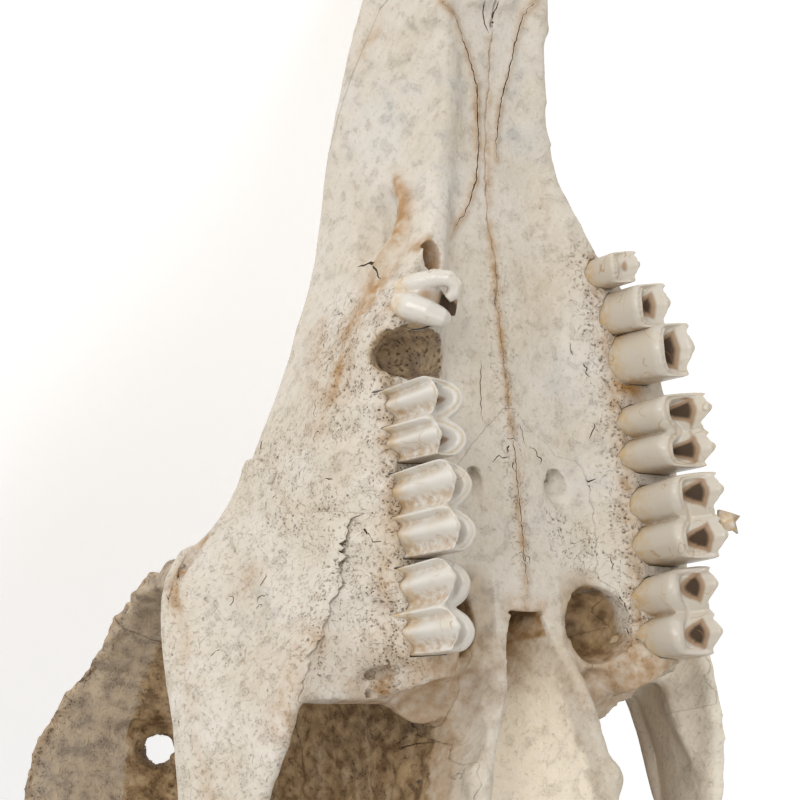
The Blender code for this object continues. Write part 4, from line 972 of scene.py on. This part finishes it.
bone_tree = weathering_tree()
bone_material = weathered_bone()
finest = {"maxilla_right": 0.48, "maxilla_left": 0.5, "palatine": 0.5, "zygomatic_right": 0.45,
          "zygomatic_left": 0.6, "frontal": 0.8, "premaxilla_right": 0.6, "premaxilla_left": 0.6,
          "lacrimal_right": 0.5, "braincase": 0.8}
for node_name, bone in bones.items():
    if node_name in finest:
        refine(bone, 0.9)
        refine(bone, finest[node_name])
    soften(bone, 3)
    mark_surface(bone, node_name)
    run_tree(bone, bone_tree, Pore_spacing_mm=0.9, Pore_depth_mm=0.45, Grain_depth_mm=0.14,
             Material=bone_material, Whole_skull=whole_skull)
drop(whole_skull)

# Cracks and fine sutures
# Narrow V grooves follow the lines where two parts of a bone have grown together, and short drying
# cracks wander over the weathered surface. Soil has settled in them and made them dark.


def soil_in_cracks():
    """Dry soil deep in a crack: dark brown and matt, so that it draws each line."""
    material = bpy.data.materials.new("soil_in_cracks")
    material.use_nodes = True
    shader = material.node_tree.nodes["Principled BSDF"]
    shader.inputs["Base Color"].default_value = colour("4A3319")
    shader.inputs["Roughness"].default_value = 0.9
    return material


def groove(bone, path, width, depth, seed, jitter=0.18):
    """V-shaped cutter along a path that is laid onto the bone's surface."""
    points = [Vector(point) for point in path]
    dense = []
    for start, end in zip(points, points[1:]):
        count = max(2, round((end - start).length / 0.55))
        dense += [start.lerp(end, i / count) for i in range(count)]
    dense.append(points[-1])
    surface = []
    for i, point in enumerate(dense):
        found, place, normal, _ = bone.closest_point_on_mesh(point)
        if surface and ((place - surface[-1][0]).length > 1.6 or normal.dot(surface[-1][1]) < 0.5):
            break
        if found and (place - point).length < 4.0:
            surface.append((place, normal))
    rings = []
    for i, (place, normal) in enumerate(surface):
        ahead = surface[min(i + 1, len(surface) - 1)][0] - surface[max(i - 1, 0)][0]
        side = normal.cross(ahead)
        if side.length < 1e-4:
            continue
        side.normalize()
        fade = min(1.0, 0.35 + 3.0 * min(i, len(surface) - 1 - i) / len(surface))
        local = width * fade * (1.0 + 0.7 * noise.noise((i * 0.4, seed, 0.0)))
        shift = side * (jitter * (noise.noise((i * 0.45, seed, 3.0)) * 2.0 + noise.noise((i * 1.1, seed, 6.0))))
        top = 0.35
        half = local / 2 * (depth + top) / depth
        rings.append([place + shift + normal * top + side * half, place + shift + normal * top - side * half,
                      place + shift - normal * depth * fade])
    return rings


def cut_grooves(node_name, wanted):
    """Cut the grooves of (path, width, depth) into a bone in one go."""
    bone = bones[node_name]
    cutters = []
    for seed, (path, width, depth) in enumerate(wanted):
        rings = groove(bone, path, width, depth, seed * 3.1 + len(node_name))
        if len(rings) > 2:
            cutters.append(skin("groove", rings))
    whole = heap("grooves", cutters)
    whole.data.materials.append(soil)
    around = {"brown": 0.0, "ochre": 0.35, "porous": 0.3, "cool": 0.0, "pore": 0.0, "pale": 0.0}
    for mask, value in around.items():
        store(whole.data, mask, np.full(len(whole.data.vertices), value))
    modifier = bone.modifiers.new("grooves", "BOOLEAN")
    modifier.operation = "DIFFERENCE"
    modifier.solver = "MANIFOLD"
    modifier.material_mode = "TRANSFER"
    modifier.object = whole
    settle_modifiers(bone)
    drop(whole)
    keep_largest(bone)


def drying_cracks(seed, count, low, high, lengths, direction):
    """Short wandering cracks that start at random places in a box."""
    chance = np.random.default_rng(seed)
    made = []
    for _ in range(count):
        place = Vector(chance.uniform(low, high))
        heading = Vector(direction) + Vector(chance.normal(0.0, 0.55, 3))
        path = [place]
        for _ in range(round(chance.uniform(*lengths) / 0.8)):
            heading = (heading.normalized() + Vector(chance.normal(0.0, 0.35, 3))).normalized()
            path.append(path[-1] + heading * 0.8)
        made.append((path, chance.uniform(0.10, 0.22), chance.uniform(0.25, 0.5)))
    return made


soil = soil_in_cracks()
fine_palate = (((5.2, 43, 0), (6.0, 38, 0), (6.4, 32.5, 0)), 0.13, 0.3)
cut_grooves("maxilla_right", [
    (incisive_right, 0.24, 0.5), (((2.6, 104.5, -5.7), (1.4, 101.8, -4.6), (0.3, 99.3, -3.6)), 0.22, 0.5),
    fine_palate, (((20.6, 60.7, 11.8), (21.0, 60.4, 8.5), (21.2, 60.2, 6.4), (23.3, 56.1, 3)), 0.5, 0.5),
    (((31.1, 33.6, 28.5), (32.2, 30.5, 28.0), (32.6, 28.6, 30.4)), 0.3, 0.6),
    (((36.6, 13, 3.0), (33.5, 8, 0), (32, 6, -1)), 0.16, 0.4),
] + drying_cracks(3, 34, (24, -4, -4), (33, 40, 16), (2.0, 7.0), (0, 1, 0.6))
  + drying_cracks(8, 16, (20, 40, -2), (30, 58, 18), (1.5, 4.0), (0, 1, 0)))
cut_grooves("maxilla_left", [
    (incisive_left, 0.22, 0.5), (((-0.9, 104.6, -5.7), (-0.6, 101.5, -4.4), (-0.5, 99.6, -3.6)), 0.2, 0.5),
] + drying_cracks(5, 14, (-19, -4, -4), (-12, 56, 0), (1.5, 4.0), (0, 1, 0)))
cut_grooves("palatine", [
    (((0.1, 34.0, 0), (0.0, 21, 0), (-0.1, 2.5, 0)), 0.15, 0.35),
    (((6.4, 31.0, 0), (6.9, 25, 0), (7.2, 19, 0)), 0.11, 0.25),
] + drying_cracks(7, 8, (-6, 2, -1), (6, 30, 0), (2.0, 5.0), (0, 1, 0)))
cut_grooves("zygomatic_right", drying_cracks(11, 16, (42, -24, 12), (48, 12, 26), (2.0, 6.0), (0.1, 1, -0.4)))

# The cheek teeth
# Upper premolars and molars of a grazer: tall crowns of white enamel round yellower dentine, ribbed
# outside and folded inside, with a deep crescent pit in each lobe of the worn grinding face.

alveolus_z = -5.0
root_depth = 7.0
outline_points = 150
wall_rings = 22
face_rings = 26


def crown_outline(length, lobes):
    """Outline seen along a crown, from the cheek side round to the palate side: (share across, v)."""
    outline = []
    half = outline_points // 2
    for k in range(half):
        v = 0.5 - (k + 0.5) / half
        part = (0.5 - v) * lobes % 1.0
        rib = math.exp(-((part - 0.46) / 0.22) ** 2)
        front = math.exp(-((part - 0.06) / 0.09) ** 2)
        rear = math.exp(-((part - 0.95) / 0.07) ** 2)
        outline.append((0.77 + 0.17 * rib + 0.21 * front + 0.07 * rear, v * length))
    for k in range(half):
        v = (k + 0.5) / half - 0.5
        lobe = abs(math.sin(math.pi * (v + 0.5) * lobes)) ** 0.5
        outline.append((0.36 * (1.0 - lobe), v * length * (0.97 - 0.05 * lobe)))
    return np.array(outline)


def crown_crests(width, length, inner_height, outer_height, lobes, facet):
    """Crests of the grinding face as (line of (u, v, height)), in millimetres across and along."""
    reach = length * 0.5 / lobes
    middles = (length * 0.25, -length * 0.25) if lobes == 2 else (0.0,)
    fall = (3.6 if lobes == 2 else 1.9) * (1.0 - 0.55 * facet)
    crests = []
    for m in middles:
        crests.append([(0.87 * width, m + reach * a, outer_height - fall * abs(a) ** 1.2)
                       for a in (0.98, 0.66, 0.33, 0.0, -0.33, -0.66, -0.98)])
        crests.append([(width * (0.15 + 0.42 * abs(a) ** 2.2), m + reach * a, inner_height - 1.9 * abs(a) ** 1.6)
                       for a in (0.93, 0.7, 0.45, 0.2, 0.0, -0.2, -0.45, -0.7, -0.93)])
    return crests


def grinding_face(u, v, crests, floor, facet):
    """Height, pit depth and bare dentine at points of the grinding face."""
    top = np.full(len(u), -1e9)
    bare = np.zeros(len(u))
    away = np.full(len(u), 1e9)
    for crest in crests:
        for start, end in zip(crest, crest[1:]):
            du, dv = end[0] - start[0], end[1] - start[1]
            share = np.clip(((u - start[0]) * du + (v - start[1]) * dv) / (du * du + dv * dv), 0.0, 1.0)
            distance = np.hypot(u - start[0] - share * du, v - start[1] - share * dv)
            over = np.maximum(np.sqrt(distance ** 2 + 0.5) - 0.7 - facet * 0.5, 0.0)
            height = start[2] + (end[2] - start[2]) * share - 1.9 * over
            bare = np.maximum(bare, np.clip((facet * 0.5 - distance) / 0.2, 0.0, 1.0))
            top = np.maximum(top, height)
            away = np.minimum(away, distance - facet * 0.5)
    level_floor = floor + 0.35 * np.sin(u * 2.1 + v * 1.3)
    pit = np.clip((away - 1.2) / 0.8, 0.0, 1.0)
    return np.maximum(top, level_floor) - 0.22 * bare, pit, bare


def cheek_tooth(name, side, centre_y, length, lobes, form, seed):
    """One whole tooth, with its root sunk in the jaw."""
    base_in, base_out, tip_in, tip_out, inner_height, outer_height, facet = form
    width = tip_out - tip_in
    outline = crown_outline(length, lobes)
    crests = crown_crests(width, length, inner_height, outer_height, lobes, facet)
    floor = inner_height - 3.6 + 1.4 * facet
    full = max(inner_height, outer_height)

    def place(across, v, w):
        rise = np.clip(w / full, -0.75, 1.0)
        left = base_in + (tip_in - base_in) * rise
        right = base_out + (tip_out - base_out) * rise
        swell = 0.90 + 0.10 * np.clip(rise + 0.15, 0.0, 1.0) ** 0.7
        return np.column_stack([left + (right - left) * across, v * swell, w])

    rings, pits, bares = [], [], []
    rim_top, _, _ = grinding_face(outline[:, 0] * width, outline[:, 1], crests, floor, facet)
    for k in range(wall_rings + 1):
        w = -root_depth + (rim_top + root_depth) * k / wall_rings
        rings.append(place(outline[:, 0], outline[:, 1], w))
        pits.append(np.zeros(len(outline)))
        bares.append(np.zeros(len(outline)))
    spine = np.column_stack([np.full(len(outline), 0.5), np.clip(outline[:, 1], -length * 0.36, length * 0.36)])
    for k in range(1, face_rings + 1):
        flat = outline + (spine - outline) * (k / face_rings * 0.97)
        top, pit, bare = grinding_face(flat[:, 0] * width, flat[:, 1], crests, floor, facet)
        rings.append(place(flat[:, 0], flat[:, 1], top))
        pits.append(pit)
        bares.append(bare)
    bm = bmesh.new()
    rows = []
    for ring in rings:
        row = []
        for across, v, w in ring:
            chip = 0.10 * noise.noise((across * 0.5 + seed, v * 0.5, w * 0.15))
            fine = 0.03 * noise.noise((across * 1.6, v * 1.6 + seed, w * 0.5))
            row.append(bm.verts.new((side * (across + chip), centre_y + v + chip * 0.6 + fine, alveolus_z - w - fine)))
        rows.append(row)
    for row, following in zip(rows, rows[1:]):
        for k, vertex in enumerate(row):
            m = (k + 1) % len(row)
            bm.faces.new((vertex, row[m], following[m], following[k]))
    bm.faces.new(rows[0])
    bm.faces.new(rows[-1])
    bmesh.ops.triangulate(bm, faces=[face for face in bm.faces if len(face.verts) > 4])
    made = shape(name, bm)
    smooth = made.modifiers.new("smooth", "SMOOTH")
    smooth.iterations = 10
    settle_modifiers(made)
    places, _ = points_of(made.data)
    store(made.data, "pit", np.concatenate(pits))
    store(made.data, "rise", np.clip((alveolus_z - places[:, 2]) / full, 0.0, 1.2))
    store(made.data, "dentine", np.concatenate(bares))
    wall_u = np.tile(outline[:, 0], wall_rings + 1)
    inner_face = wall_u < 0.5
    hollow = np.where(inner_face, wall_u / 0.3, (0.96 - wall_u) / 0.16)
    store(made.data, "fold", np.concatenate([np.clip(hollow, 0, 1), np.zeros(len(outline) * face_rings)]))
    store(made.data, "left", np.full(len(places), 1.0 if side < 0 else 0.0))
    return made


def folded_tooth(name):
    """The right third premolar, worn to two thick folds that run from its cheek side into a hook."""
    front_fold = ((25.4, 52.9, -4.2), (23.6, 53.6, -7.2), (21.6, 54.0, -9.8), (20.0, 53.7, -11.2),
                  (19.0, 52.4, -11.7), (19.2, 51.2, -11.2), (20.0, 50.4, -10.4))
    rear_fold = ((25.7, 50.6, -4.4), (25.0, 49.5, -6.8), (23.2, 48.4, -8.6), (21.2, 47.5, -9.5),
                 (19.8, 47.4, -8.8))
    whole = heap(name, [
        rod("front_fold", front_fold, (1.7, 1.7, 1.6, 1.5, 1.3, 1.1, 0.8)),
        rod("rear_fold", rear_fold, (2.2, 2.4, 2.2, 1.8, 1.5)),
        ball("crown_body", (21.5, 51.0, -3.6), (4.5, 4.2, 5.9)),
        rod("root", ((21.3, 51.0, -3.0), (20.9, 51.0, 3.0)), (3.2, 2.4)),
        rod("inner_wall", ((18.6, 53.0, -10.5), (17.9, 50.6, -9.0), (18.2, 48.2, -8.4)), (1.0, 1.0, 1.0))])
    remesh = whole.modifiers.new("remesh", "REMESH")
    remesh.mode = "VOXEL"
    remesh.voxel_size = 0.2
    smooth = whole.modifiers.new("smooth", "SMOOTH")
    smooth.iterations = 6
    settle_modifiers(whole)
    keep_largest(whole)
    places, _ = points_of(whole.data)
    sunk = np.minimum(distance_to(places, ((22.6, 51.0, -8.0), (20.4, 50.4, -8.2))), 99.0)
    dark = distance_to(places, ((19.6, 50.2, -8.4), (18.6, 49.2, -8.8)))
    store(whole.data, "pit", np.maximum(0.45 * np.clip(2.1 - sunk, 0, 1), np.clip(2.3 - dark, 0, 1)))
    store(whole.data, "rise", np.clip((alveolus_z - places[:, 2]) / 9.0, 0.0, 1.2))
    store(whole.data, "dentine", np.zeros(len(places)))
    between = distance_to(places, ((25.6, 51.7, -5.0), (23.2, 51.2, -8.2)))
    store(whole.data, "fold", np.clip(1.6 - between, 0, 1))
    store(whole.data, "left", np.zeros(len(places)))
    return whole


def tooth_enamel():
    """Tooth enamel: glassy white over yellower dentine, so it gleams, with tartar and painted shade in the folds."""
    material = bpy.data.materials.new("tooth_enamel")
    material.use_nodes = True
    tree = material.node_tree
    shader = tree.nodes["Principled BSDF"]
    place = add(tree, "ShaderNodeTexCoord").outputs["Object"]
    masks = {name: add(tree, "ShaderNodeAttribute", attribute_name=name).outputs["Fac"]
             for name in ("pit", "rise", "dentine", "left", "fold")}
    cloud = add(tree, "ShaderNodeTexNoise", [("Vector", place), ("Scale", 230.0), ("Detail", 3.0)]).outputs[0]
    fine = add(tree, "ShaderNodeTexNoise", [("Vector", place), ("Scale", 900.0), ("Detail", 3.0)]).outputs[0]
    base = tint(tree, masks["left"], colour("CFC9BF"), colour("C4BBAD"))
    base = tint(tree, level(tree, cloud, 0.45, 0.75, 0.5), base, colour("C4B69C"))
    neck = times(tree, level(tree, masks["rise"], 0.32, 0.0), level(tree, fine, 0.3, 0.6, 0.8))
    base = tint(tree, neck, base, colour("C3A067"))
    # Tartar and painted shade: the folds between the lobes are painted darker brown
    fold_grime_and_shade = times(tree, level(tree, masks["fold"], 0.45, 1.0), level(tree, fine, 0.35, 0.62, 0.65))
    base = tint(tree, fold_grime_and_shade, base, colour("A5835A"))
    base = tint(tree, times(tree, masks["dentine"], 0.6), base, colour("C2AC88"))
    edge = times(tree, level(tree, masks["pit"], 0.05, 0.4), 0.8)
    base = tint(tree, edge, base, colour("8A6436"))
    base = tint(tree, level(tree, masks["pit"], 0.6, 1.0), base, colour("3D2810"))
    vein = add(tree, "ShaderNodeTexNoise", [("Vector", place), ("Scale", 160.0), ("Detail", 1.0),
                                            ("Distortion", 1.2)]).outputs[0]
    middle = add(tree, "ShaderNodeMath", [(0, vein), (1, 0.5)], operation="SUBTRACT").outputs[0]
    middle = add(tree, "ShaderNodeMath", [(0, middle)], operation="ABSOLUTE").outputs[0]
    line = times(tree, level(tree, middle, 0.012, 0.002), level(tree, cloud, 0.5, 0.6, 0.6))
    base = tint(tree, line, base, colour("9A7443"))
    tree.links.new(base, shader.inputs["Base Color"])
    tree.links.new(add(tree, "ShaderNodeMapRange", [("Value", masks["pit"]), ("To Min", 0.3), ("To Max", 0.85)]
                       ).outputs[0], shader.inputs["Roughness"])
    shader.inputs["IOR"].default_value = 1.62
    shader.inputs["Subsurface Weight"].default_value = 0.12
    shader.inputs["Subsurface Radius"].default_value = (0.0018, 0.0014, 0.001)
    bump = add(tree, "ShaderNodeBump", [("Height", fine), ("Strength", 0.25), ("Distance", 0.0002)])
    tree.links.new(bump.outputs[0], shader.inputs["Normal"])
    return material


# Inner and outer edge of a crown at the jaw and at its tips, inner and outer height, and wear
crown_forms = {
    "second_premolar": (15.6, 21.6, 16.0, 21.0, 6.2, 8.2, 0.3),
    "third_premolar": (17.6, 25.2, 18.6, 25.4, 8.4, 10.2, 0.4),
    "fourth_premolar": (18.9, 28.6, 21.0, 28.8, 10.2, 11.6, 0.35),
    "first_molar": (19.4, 31.6, 21.2, 31.0, 9.3, 12.2, 0.65),
    "second_molar": (20.4, 31.4, 21.8, 30.0, 10.3, 14.2, 0.45),
    "third_molar": (19.9, 31.8, 22.0, 29.2, 7.6, 11.4, 0.2)}

enamel_material = tooth_enamel()
for side, label in ((1, "right"), (-1, "left")):
    jaw = bones["maxilla_" + label]
    for number, (name, centre_y, length, lobes) in enumerate(tooth_rows):
        if side == 1 and name in lost_on_right:
            continue
        form = crown_forms[name]
        outline = crown_outline(length * 0.91, lobes)
        middle = (form[0] + form[1]) / 2
        flat = np.column_stack([form[0] + (form[1] - form[0]) * outline[:, 0] - middle, outline[:, 1]])
        grown = flat * (1.0 + 0.2 / np.linalg.norm(flat, axis=1))[:, None]
        socket = skin("socket", [[(side * (middle + u), centre_y + v, z) for u, v in grown]
                                 for z in (alveolus_z + 3.0, -19.0)])
        if side == 1 and name == "third_premolar":
            drop(socket)
            socket = ball("socket", (21.3, 51.0, -4.2), (4.75, 4.45, 6.0))
        combine(jaw, socket, "DIFFERENCE")
        drop(socket)
        if side == 1 and name == "third_premolar":
            tooth = folded_tooth(name + "_" + label)
        else:
            tooth = cheek_tooth(name + "_" + label, side, centre_y, length, lobes, form, number * 7.3 + side)
        tooth.data.materials.append(enamel_material)
        finish_piece(tooth, "teeth", "maxilla_" + label)
    keep_largest(jaw)

# A chip of enamel that has sprung from the left second molar and still hangs at its outer side
bm = bmesh.new()
chip_outline = ((0.0, -2.0), (2.6, -1.6), (3.3, -2.2), (3.0, -0.2), (4.0, 0.8), (2.4, 1.4), (0.4, 2.0))
for depth_z in (-0.35, 0.35):
    for u, v in chip_outline:
        bm.verts.new((-30.2 - u, 13.8 + v, -15.6 - u * 0.35 + depth_z * (1.0 - 0.1 * u)))
bm.verts.ensure_lookup_table()
count = len(chip_outline)
bm.faces.new([bm.verts[k] for k in range(count)])
bm.faces.new([bm.verts[count + k] for k in range(count)])
for k in range(count):
    bm.faces.new([bm.verts[k], bm.verts[(k + 1) % count], bm.verts[count + (k + 1) % count], bm.verts[count + k]])
chip = shape("enamel_chip", bm)
chip.data.materials.append(enamel_material)
finish_piece(chip, "teeth", "maxilla_left")

# The horns
# Ringed sheaths of dark horn over bony cores, which sweep back and hook forward at their tips.
# The rings are strongest near the forehead and fade to a smooth worn tip.

horn_base = Vector((25.0, -55.0, 93.0))
horn_length = 245.0
horn_base_radius = 17.0
horn_tip_radius = 2.6
horn_rows = 300
horn_sides = 48


def horn_sheath(name, side, grow=0.0, sides=horn_sides, rows=horn_rows):
    """Smooth horn, with the share of its length kept on each vertex."""
    spacing = horn_length / rows
    place = Vector((horn_base.x * side, horn_base.y, horn_base.z))
    rings, shares = [], []
    for i in range(rows + 1):
        share = i / rows
        lean = math.radians(146 - 96 * share ** 1.35)
        splay = math.radians(24 + 6 * math.sin(math.pi * share) - 34 * share ** 3)
        ahead = Vector((math.sin(splay) * side, math.cos(splay) * math.cos(lean),
                        math.cos(splay) * math.sin(lean)))
        across = ahead.cross(Vector((side, 0.0, 0.0))).normalized()
        out = across.cross(ahead).normalized()
        radius = horn_base_radius * (1 - share) ** 0.8 + horn_tip_radius * share + grow
        start = place - ahead * grow if i == 0 else place
        angles = [2 * math.pi * k / sides for k in range(sides)]
        rings.append([start + out * math.cos(a) * radius * 0.93 + across * math.sin(a) * radius for a in angles])
        shares += [share] * sides
        place = place + ahead * spacing
    made = skin(name, rings)
    store(made.data, "share", np.array(shares))
    return made


def horn_ring_tree():
    """Geometry Nodes that raise the growth rings of a horn, with their count and height as inputs."""
    tree = bpy.data.node_groups.new("horn_rings", "GeometryNodeTree")
    face = tree.interface
    face.new_socket("Geometry", in_out="INPUT", socket_type="NodeSocketGeometry")
    for name, value in (("Rings", 12.0), ("Ring height mm", 0.9), ("Ringed share", 0.72)):
        face.new_socket(name, in_out="INPUT", socket_type="NodeSocketFloat").default_value = value
    face.new_socket("Material", in_out="INPUT", socket_type="NodeSocketMaterial")
    face.new_socket("Geometry", in_out="OUTPUT", socket_type="NodeSocketGeometry")
    given = add(tree, "NodeGroupInput").outputs
    share = add(tree, "GeometryNodeInputNamedAttribute", [("Name", "share")], data_type="FLOAT").outputs[0]
    place = add(tree, "GeometryNodeInputPosition").outputs[0]
    drift = add(tree, "ShaderNodeTexNoise", [("Vector", place), ("Scale", 0.09), ("Detail", 1.0)]).outputs[0]
    turns = add(tree, "ShaderNodeMath", [(0, share), (1, given["Rings"])], operation="MULTIPLY").outputs[0]
    shifted = add(tree, "ShaderNodeMath", [(0, drift), (1, 0.35), (2, turns)], operation="MULTIPLY_ADD").outputs[0]
    angle = times(tree, shifted, 2 * math.pi)
    wave = add(tree, "ShaderNodeMath", [(0, angle)], operation="COSINE").outputs[0]
    crest = add(tree, "ShaderNodeMapRange", [("Value", wave), ("From Min", -1.0), ("From Max", 1.0)],
                interpolation_type="SMOOTHERSTEP").outputs[0]
    fade = add(tree, "ShaderNodeMapRange", [("Value", share), ("From Min", given["Ringed share"]),
                                            ("From Max", 0.0)]).outputs[0]
    raised = times(tree, times(tree, crest, fade), given["Ring height mm"])
    fibre = add(tree, "ShaderNodeTexNoise", [("Vector", place), ("Scale", 0.8), ("Detail", 3.0)]).outputs[0]
    total = add(tree, "ShaderNodeMath", [(0, fibre), (1, 0.25), (2, raised)], operation="MULTIPLY_ADD").outputs[0]
    settled = add(tree, "ShaderNodeMath", [(0, total), (1, 0.12)], operation="SUBTRACT").outputs[0]
    normal = add(tree, "GeometryNodeInputNormal").outputs[0]
    offset = add(tree, "ShaderNodeVectorMath", [(0, normal), ("Scale", settled)], operation="SCALE")
    moved = add(tree, "GeometryNodeSetPosition", [("Geometry", given["Geometry"]), ("Offset", offset.outputs[0])])
    real = add(tree, "GeometryNodeRealizeInstances", [("Geometry", moved.outputs[0])])
    painted = add(tree, "GeometryNodeSetMaterial", [("Geometry", real.outputs[0]), ("Material", given["Material"])])
    add(tree, "NodeGroupOutput", [("Geometry", painted.outputs[0])])
    return tree


def dark_horn():
    """Keratin horn: nearly black, fibrous along its length, dull at the base and polished at the tip."""
    material = bpy.data.materials.new("keratin_horn")
    material.use_nodes = True
    tree = material.node_tree
    shader = tree.nodes["Principled BSDF"]
    place = add(tree, "ShaderNodeTexCoord").outputs["Object"]
    share = add(tree, "ShaderNodeAttribute", attribute_name="share").outputs["Fac"]
    cloud = add(tree, "ShaderNodeTexNoise", [("Vector", place), ("Scale", 60.0), ("Detail", 3.0)]).outputs[0]
    fibre = add(tree, "ShaderNodeTexNoise", [("Vector", place), ("Scale", 900.0), ("Detail", 3.0)]).outputs[0]
    base = tint(tree, level(tree, cloud, 0.35, 0.7), colour("3A3029"), colour("1F1A17"))
    base = tint(tree, level(tree, fibre, 0.5, 0.75, 0.35), base, colour("6A5B4A"))
    base = tint(tree, level(tree, share, 0.12, 0.0, 0.5), base, colour("7A6850"))
    tree.links.new(base, shader.inputs["Base Color"])
    tree.links.new(level(tree, share, 1.4, -0.2, 0.7), shader.inputs["Roughness"])
    shader.inputs["IOR"].default_value = 1.54
    bump = add(tree, "ShaderNodeBump", [("Height", fibre), ("Strength", 0.4), ("Distance", 0.0004)])
    tree.links.new(bump.outputs[0], shader.inputs["Normal"])
    return material


def cut_at_floor(piece):
    """Give a laid-down piece that rests on the floor its small flat."""
    bm = bmesh.new()
    bmesh.ops.create_cube(bm, size=0.6)
    block = shape("floor_cut", bm)
    block.data.transform(Matrix.Translation((0.0, 0.0, -0.3)))
    combine(piece, block, "DIFFERENCE")
    drop(block)


horn_tree = horn_ring_tree()
horn_material = dark_horn()
for side, label in ((1, "right"), (-1, "left")):
    grown = horn_sheath("grown", side, suture_gap + 0.15, sides=24, rows=60)
    combine(bones["frontal"], grown, "DIFFERENCE")
    drop(grown)
    horn = horn_sheath("horn_sheath_" + label, side)
    run_tree(horn, horn_tree, Rings=12.0, Ring_height_mm=0.9, Ringed_share=0.72, Material=horn_material)
    finish_piece(horn, "horn", "horn_" + label)
    cut_at_floor(horn)
keep_largest(bones["frontal"])
for node_name, bone in bones.items():
    finish_piece(bone, "bone", node_name)
    if node_name.startswith("premaxilla"):
        cut_at_floor(bone)

# Floor, light and camera
# A plain white studio floor, a broad soft light from the upper left of the view and a pale room.
# The camera looks at the palate from the animal's right, as the photograph does.

white_floor = bpy.data.materials.new("matt_white_floor")
white_floor.use_nodes = True
white_floor.node_tree.nodes["Principled BSDF"].inputs["Base Color"].default_value = colour("FAFAFA")
white_floor.node_tree.nodes["Principled BSDF"].inputs["Roughness"].default_value = 0.9
white_floor.node_tree.nodes["Principled BSDF"].inputs["Emission Color"].default_value = colour("FFFFFF")
white_floor.node_tree.nodes["Principled BSDF"].inputs["Emission Strength"].default_value = 0.34
bm = bmesh.new()
bmesh.ops.create_grid(bm, x_segments=1, y_segments=1, size=3.0)
floor = shape("studio_floor", bm)
floor.data.materials.append(white_floor)

world = bpy.data.worlds.new("pale_room")
world.use_nodes = True
world.node_tree.nodes["Background"].inputs["Color"].default_value = colour("FFFFFF")
world.node_tree.nodes["Background"].inputs["Strength"].default_value = 0.64
bpy.context.scene.world = world
bpy.context.scene.view_settings.view_transform = "Standard"

# The camera's axes in the skull's frame, found by matching the photograph
camera_back = Vector((0.63261, -0.16683, -0.75629))
camera_up = Vector((0.03912, 0.98216, -0.18393))
camera_right = Vector((-0.77348, -0.08677, -0.62785))
camera_target = Vector((0.0, 30.0, 0.0))
camera_distance = 800.0
focal_pixels = 4758.97573
centre_pixel = (512.42556, 437.218)
frame_pixels = 800
sensor_width = 36.0

turn_only = lay_down.to_3x3().normalized()
eye = lay_down @ (camera_target + camera_back * camera_distance)
forward = (-camera_back + camera_right * (frame_pixels / 2 - centre_pixel[0]) / focal_pixels
           - camera_up * (frame_pixels / 2 - centre_pixel[1]) / focal_pixels).normalized()
across = (camera_right - forward * camera_right.dot(forward)).normalized()
upward = across.cross(forward)
axes = Matrix((across, upward, -forward)).transposed()
camera_data = bpy.data.cameras.new("camera")
camera_data.sensor_width = sensor_width
camera_data.lens = focal_pixels / frame_pixels * sensor_width
camera_data.clip_end = 20.0
camera = bpy.data.objects.new("camera", camera_data)
camera.matrix_world = Matrix.Translation(eye) @ (turn_only @ axes).to_4x4()
bpy.context.scene.collection.objects.link(camera)
bpy.context.scene.camera = camera


def soft_light(name, direction, distance, size, watts):
    """Broad square light that shines on the skull from a direction of the camera's view."""
    light = bpy.data.lights.new(name, "AREA")
    light.size = size
    light.energy = watts
    lamp = bpy.data.objects.new(name, light)
    middle = lay_down @ camera_target
    toward = (turn_only @ (across * direction[0] + upward * direction[1] - forward * direction[2])).normalized()
    lamp.matrix_world = (Matrix.Translation(middle + toward * distance)
                         @ toward.to_track_quat("Z", "Y").to_matrix().to_4x4())
    bpy.context.scene.collection.objects.link(lamp)


soft_light("window", (-0.25, 0.4, 1.0), 1.4, 0.6, 6.5)
soft_light("fill", (0.5, -0.35, 1.0), 1.4, 0.8, 3.5)
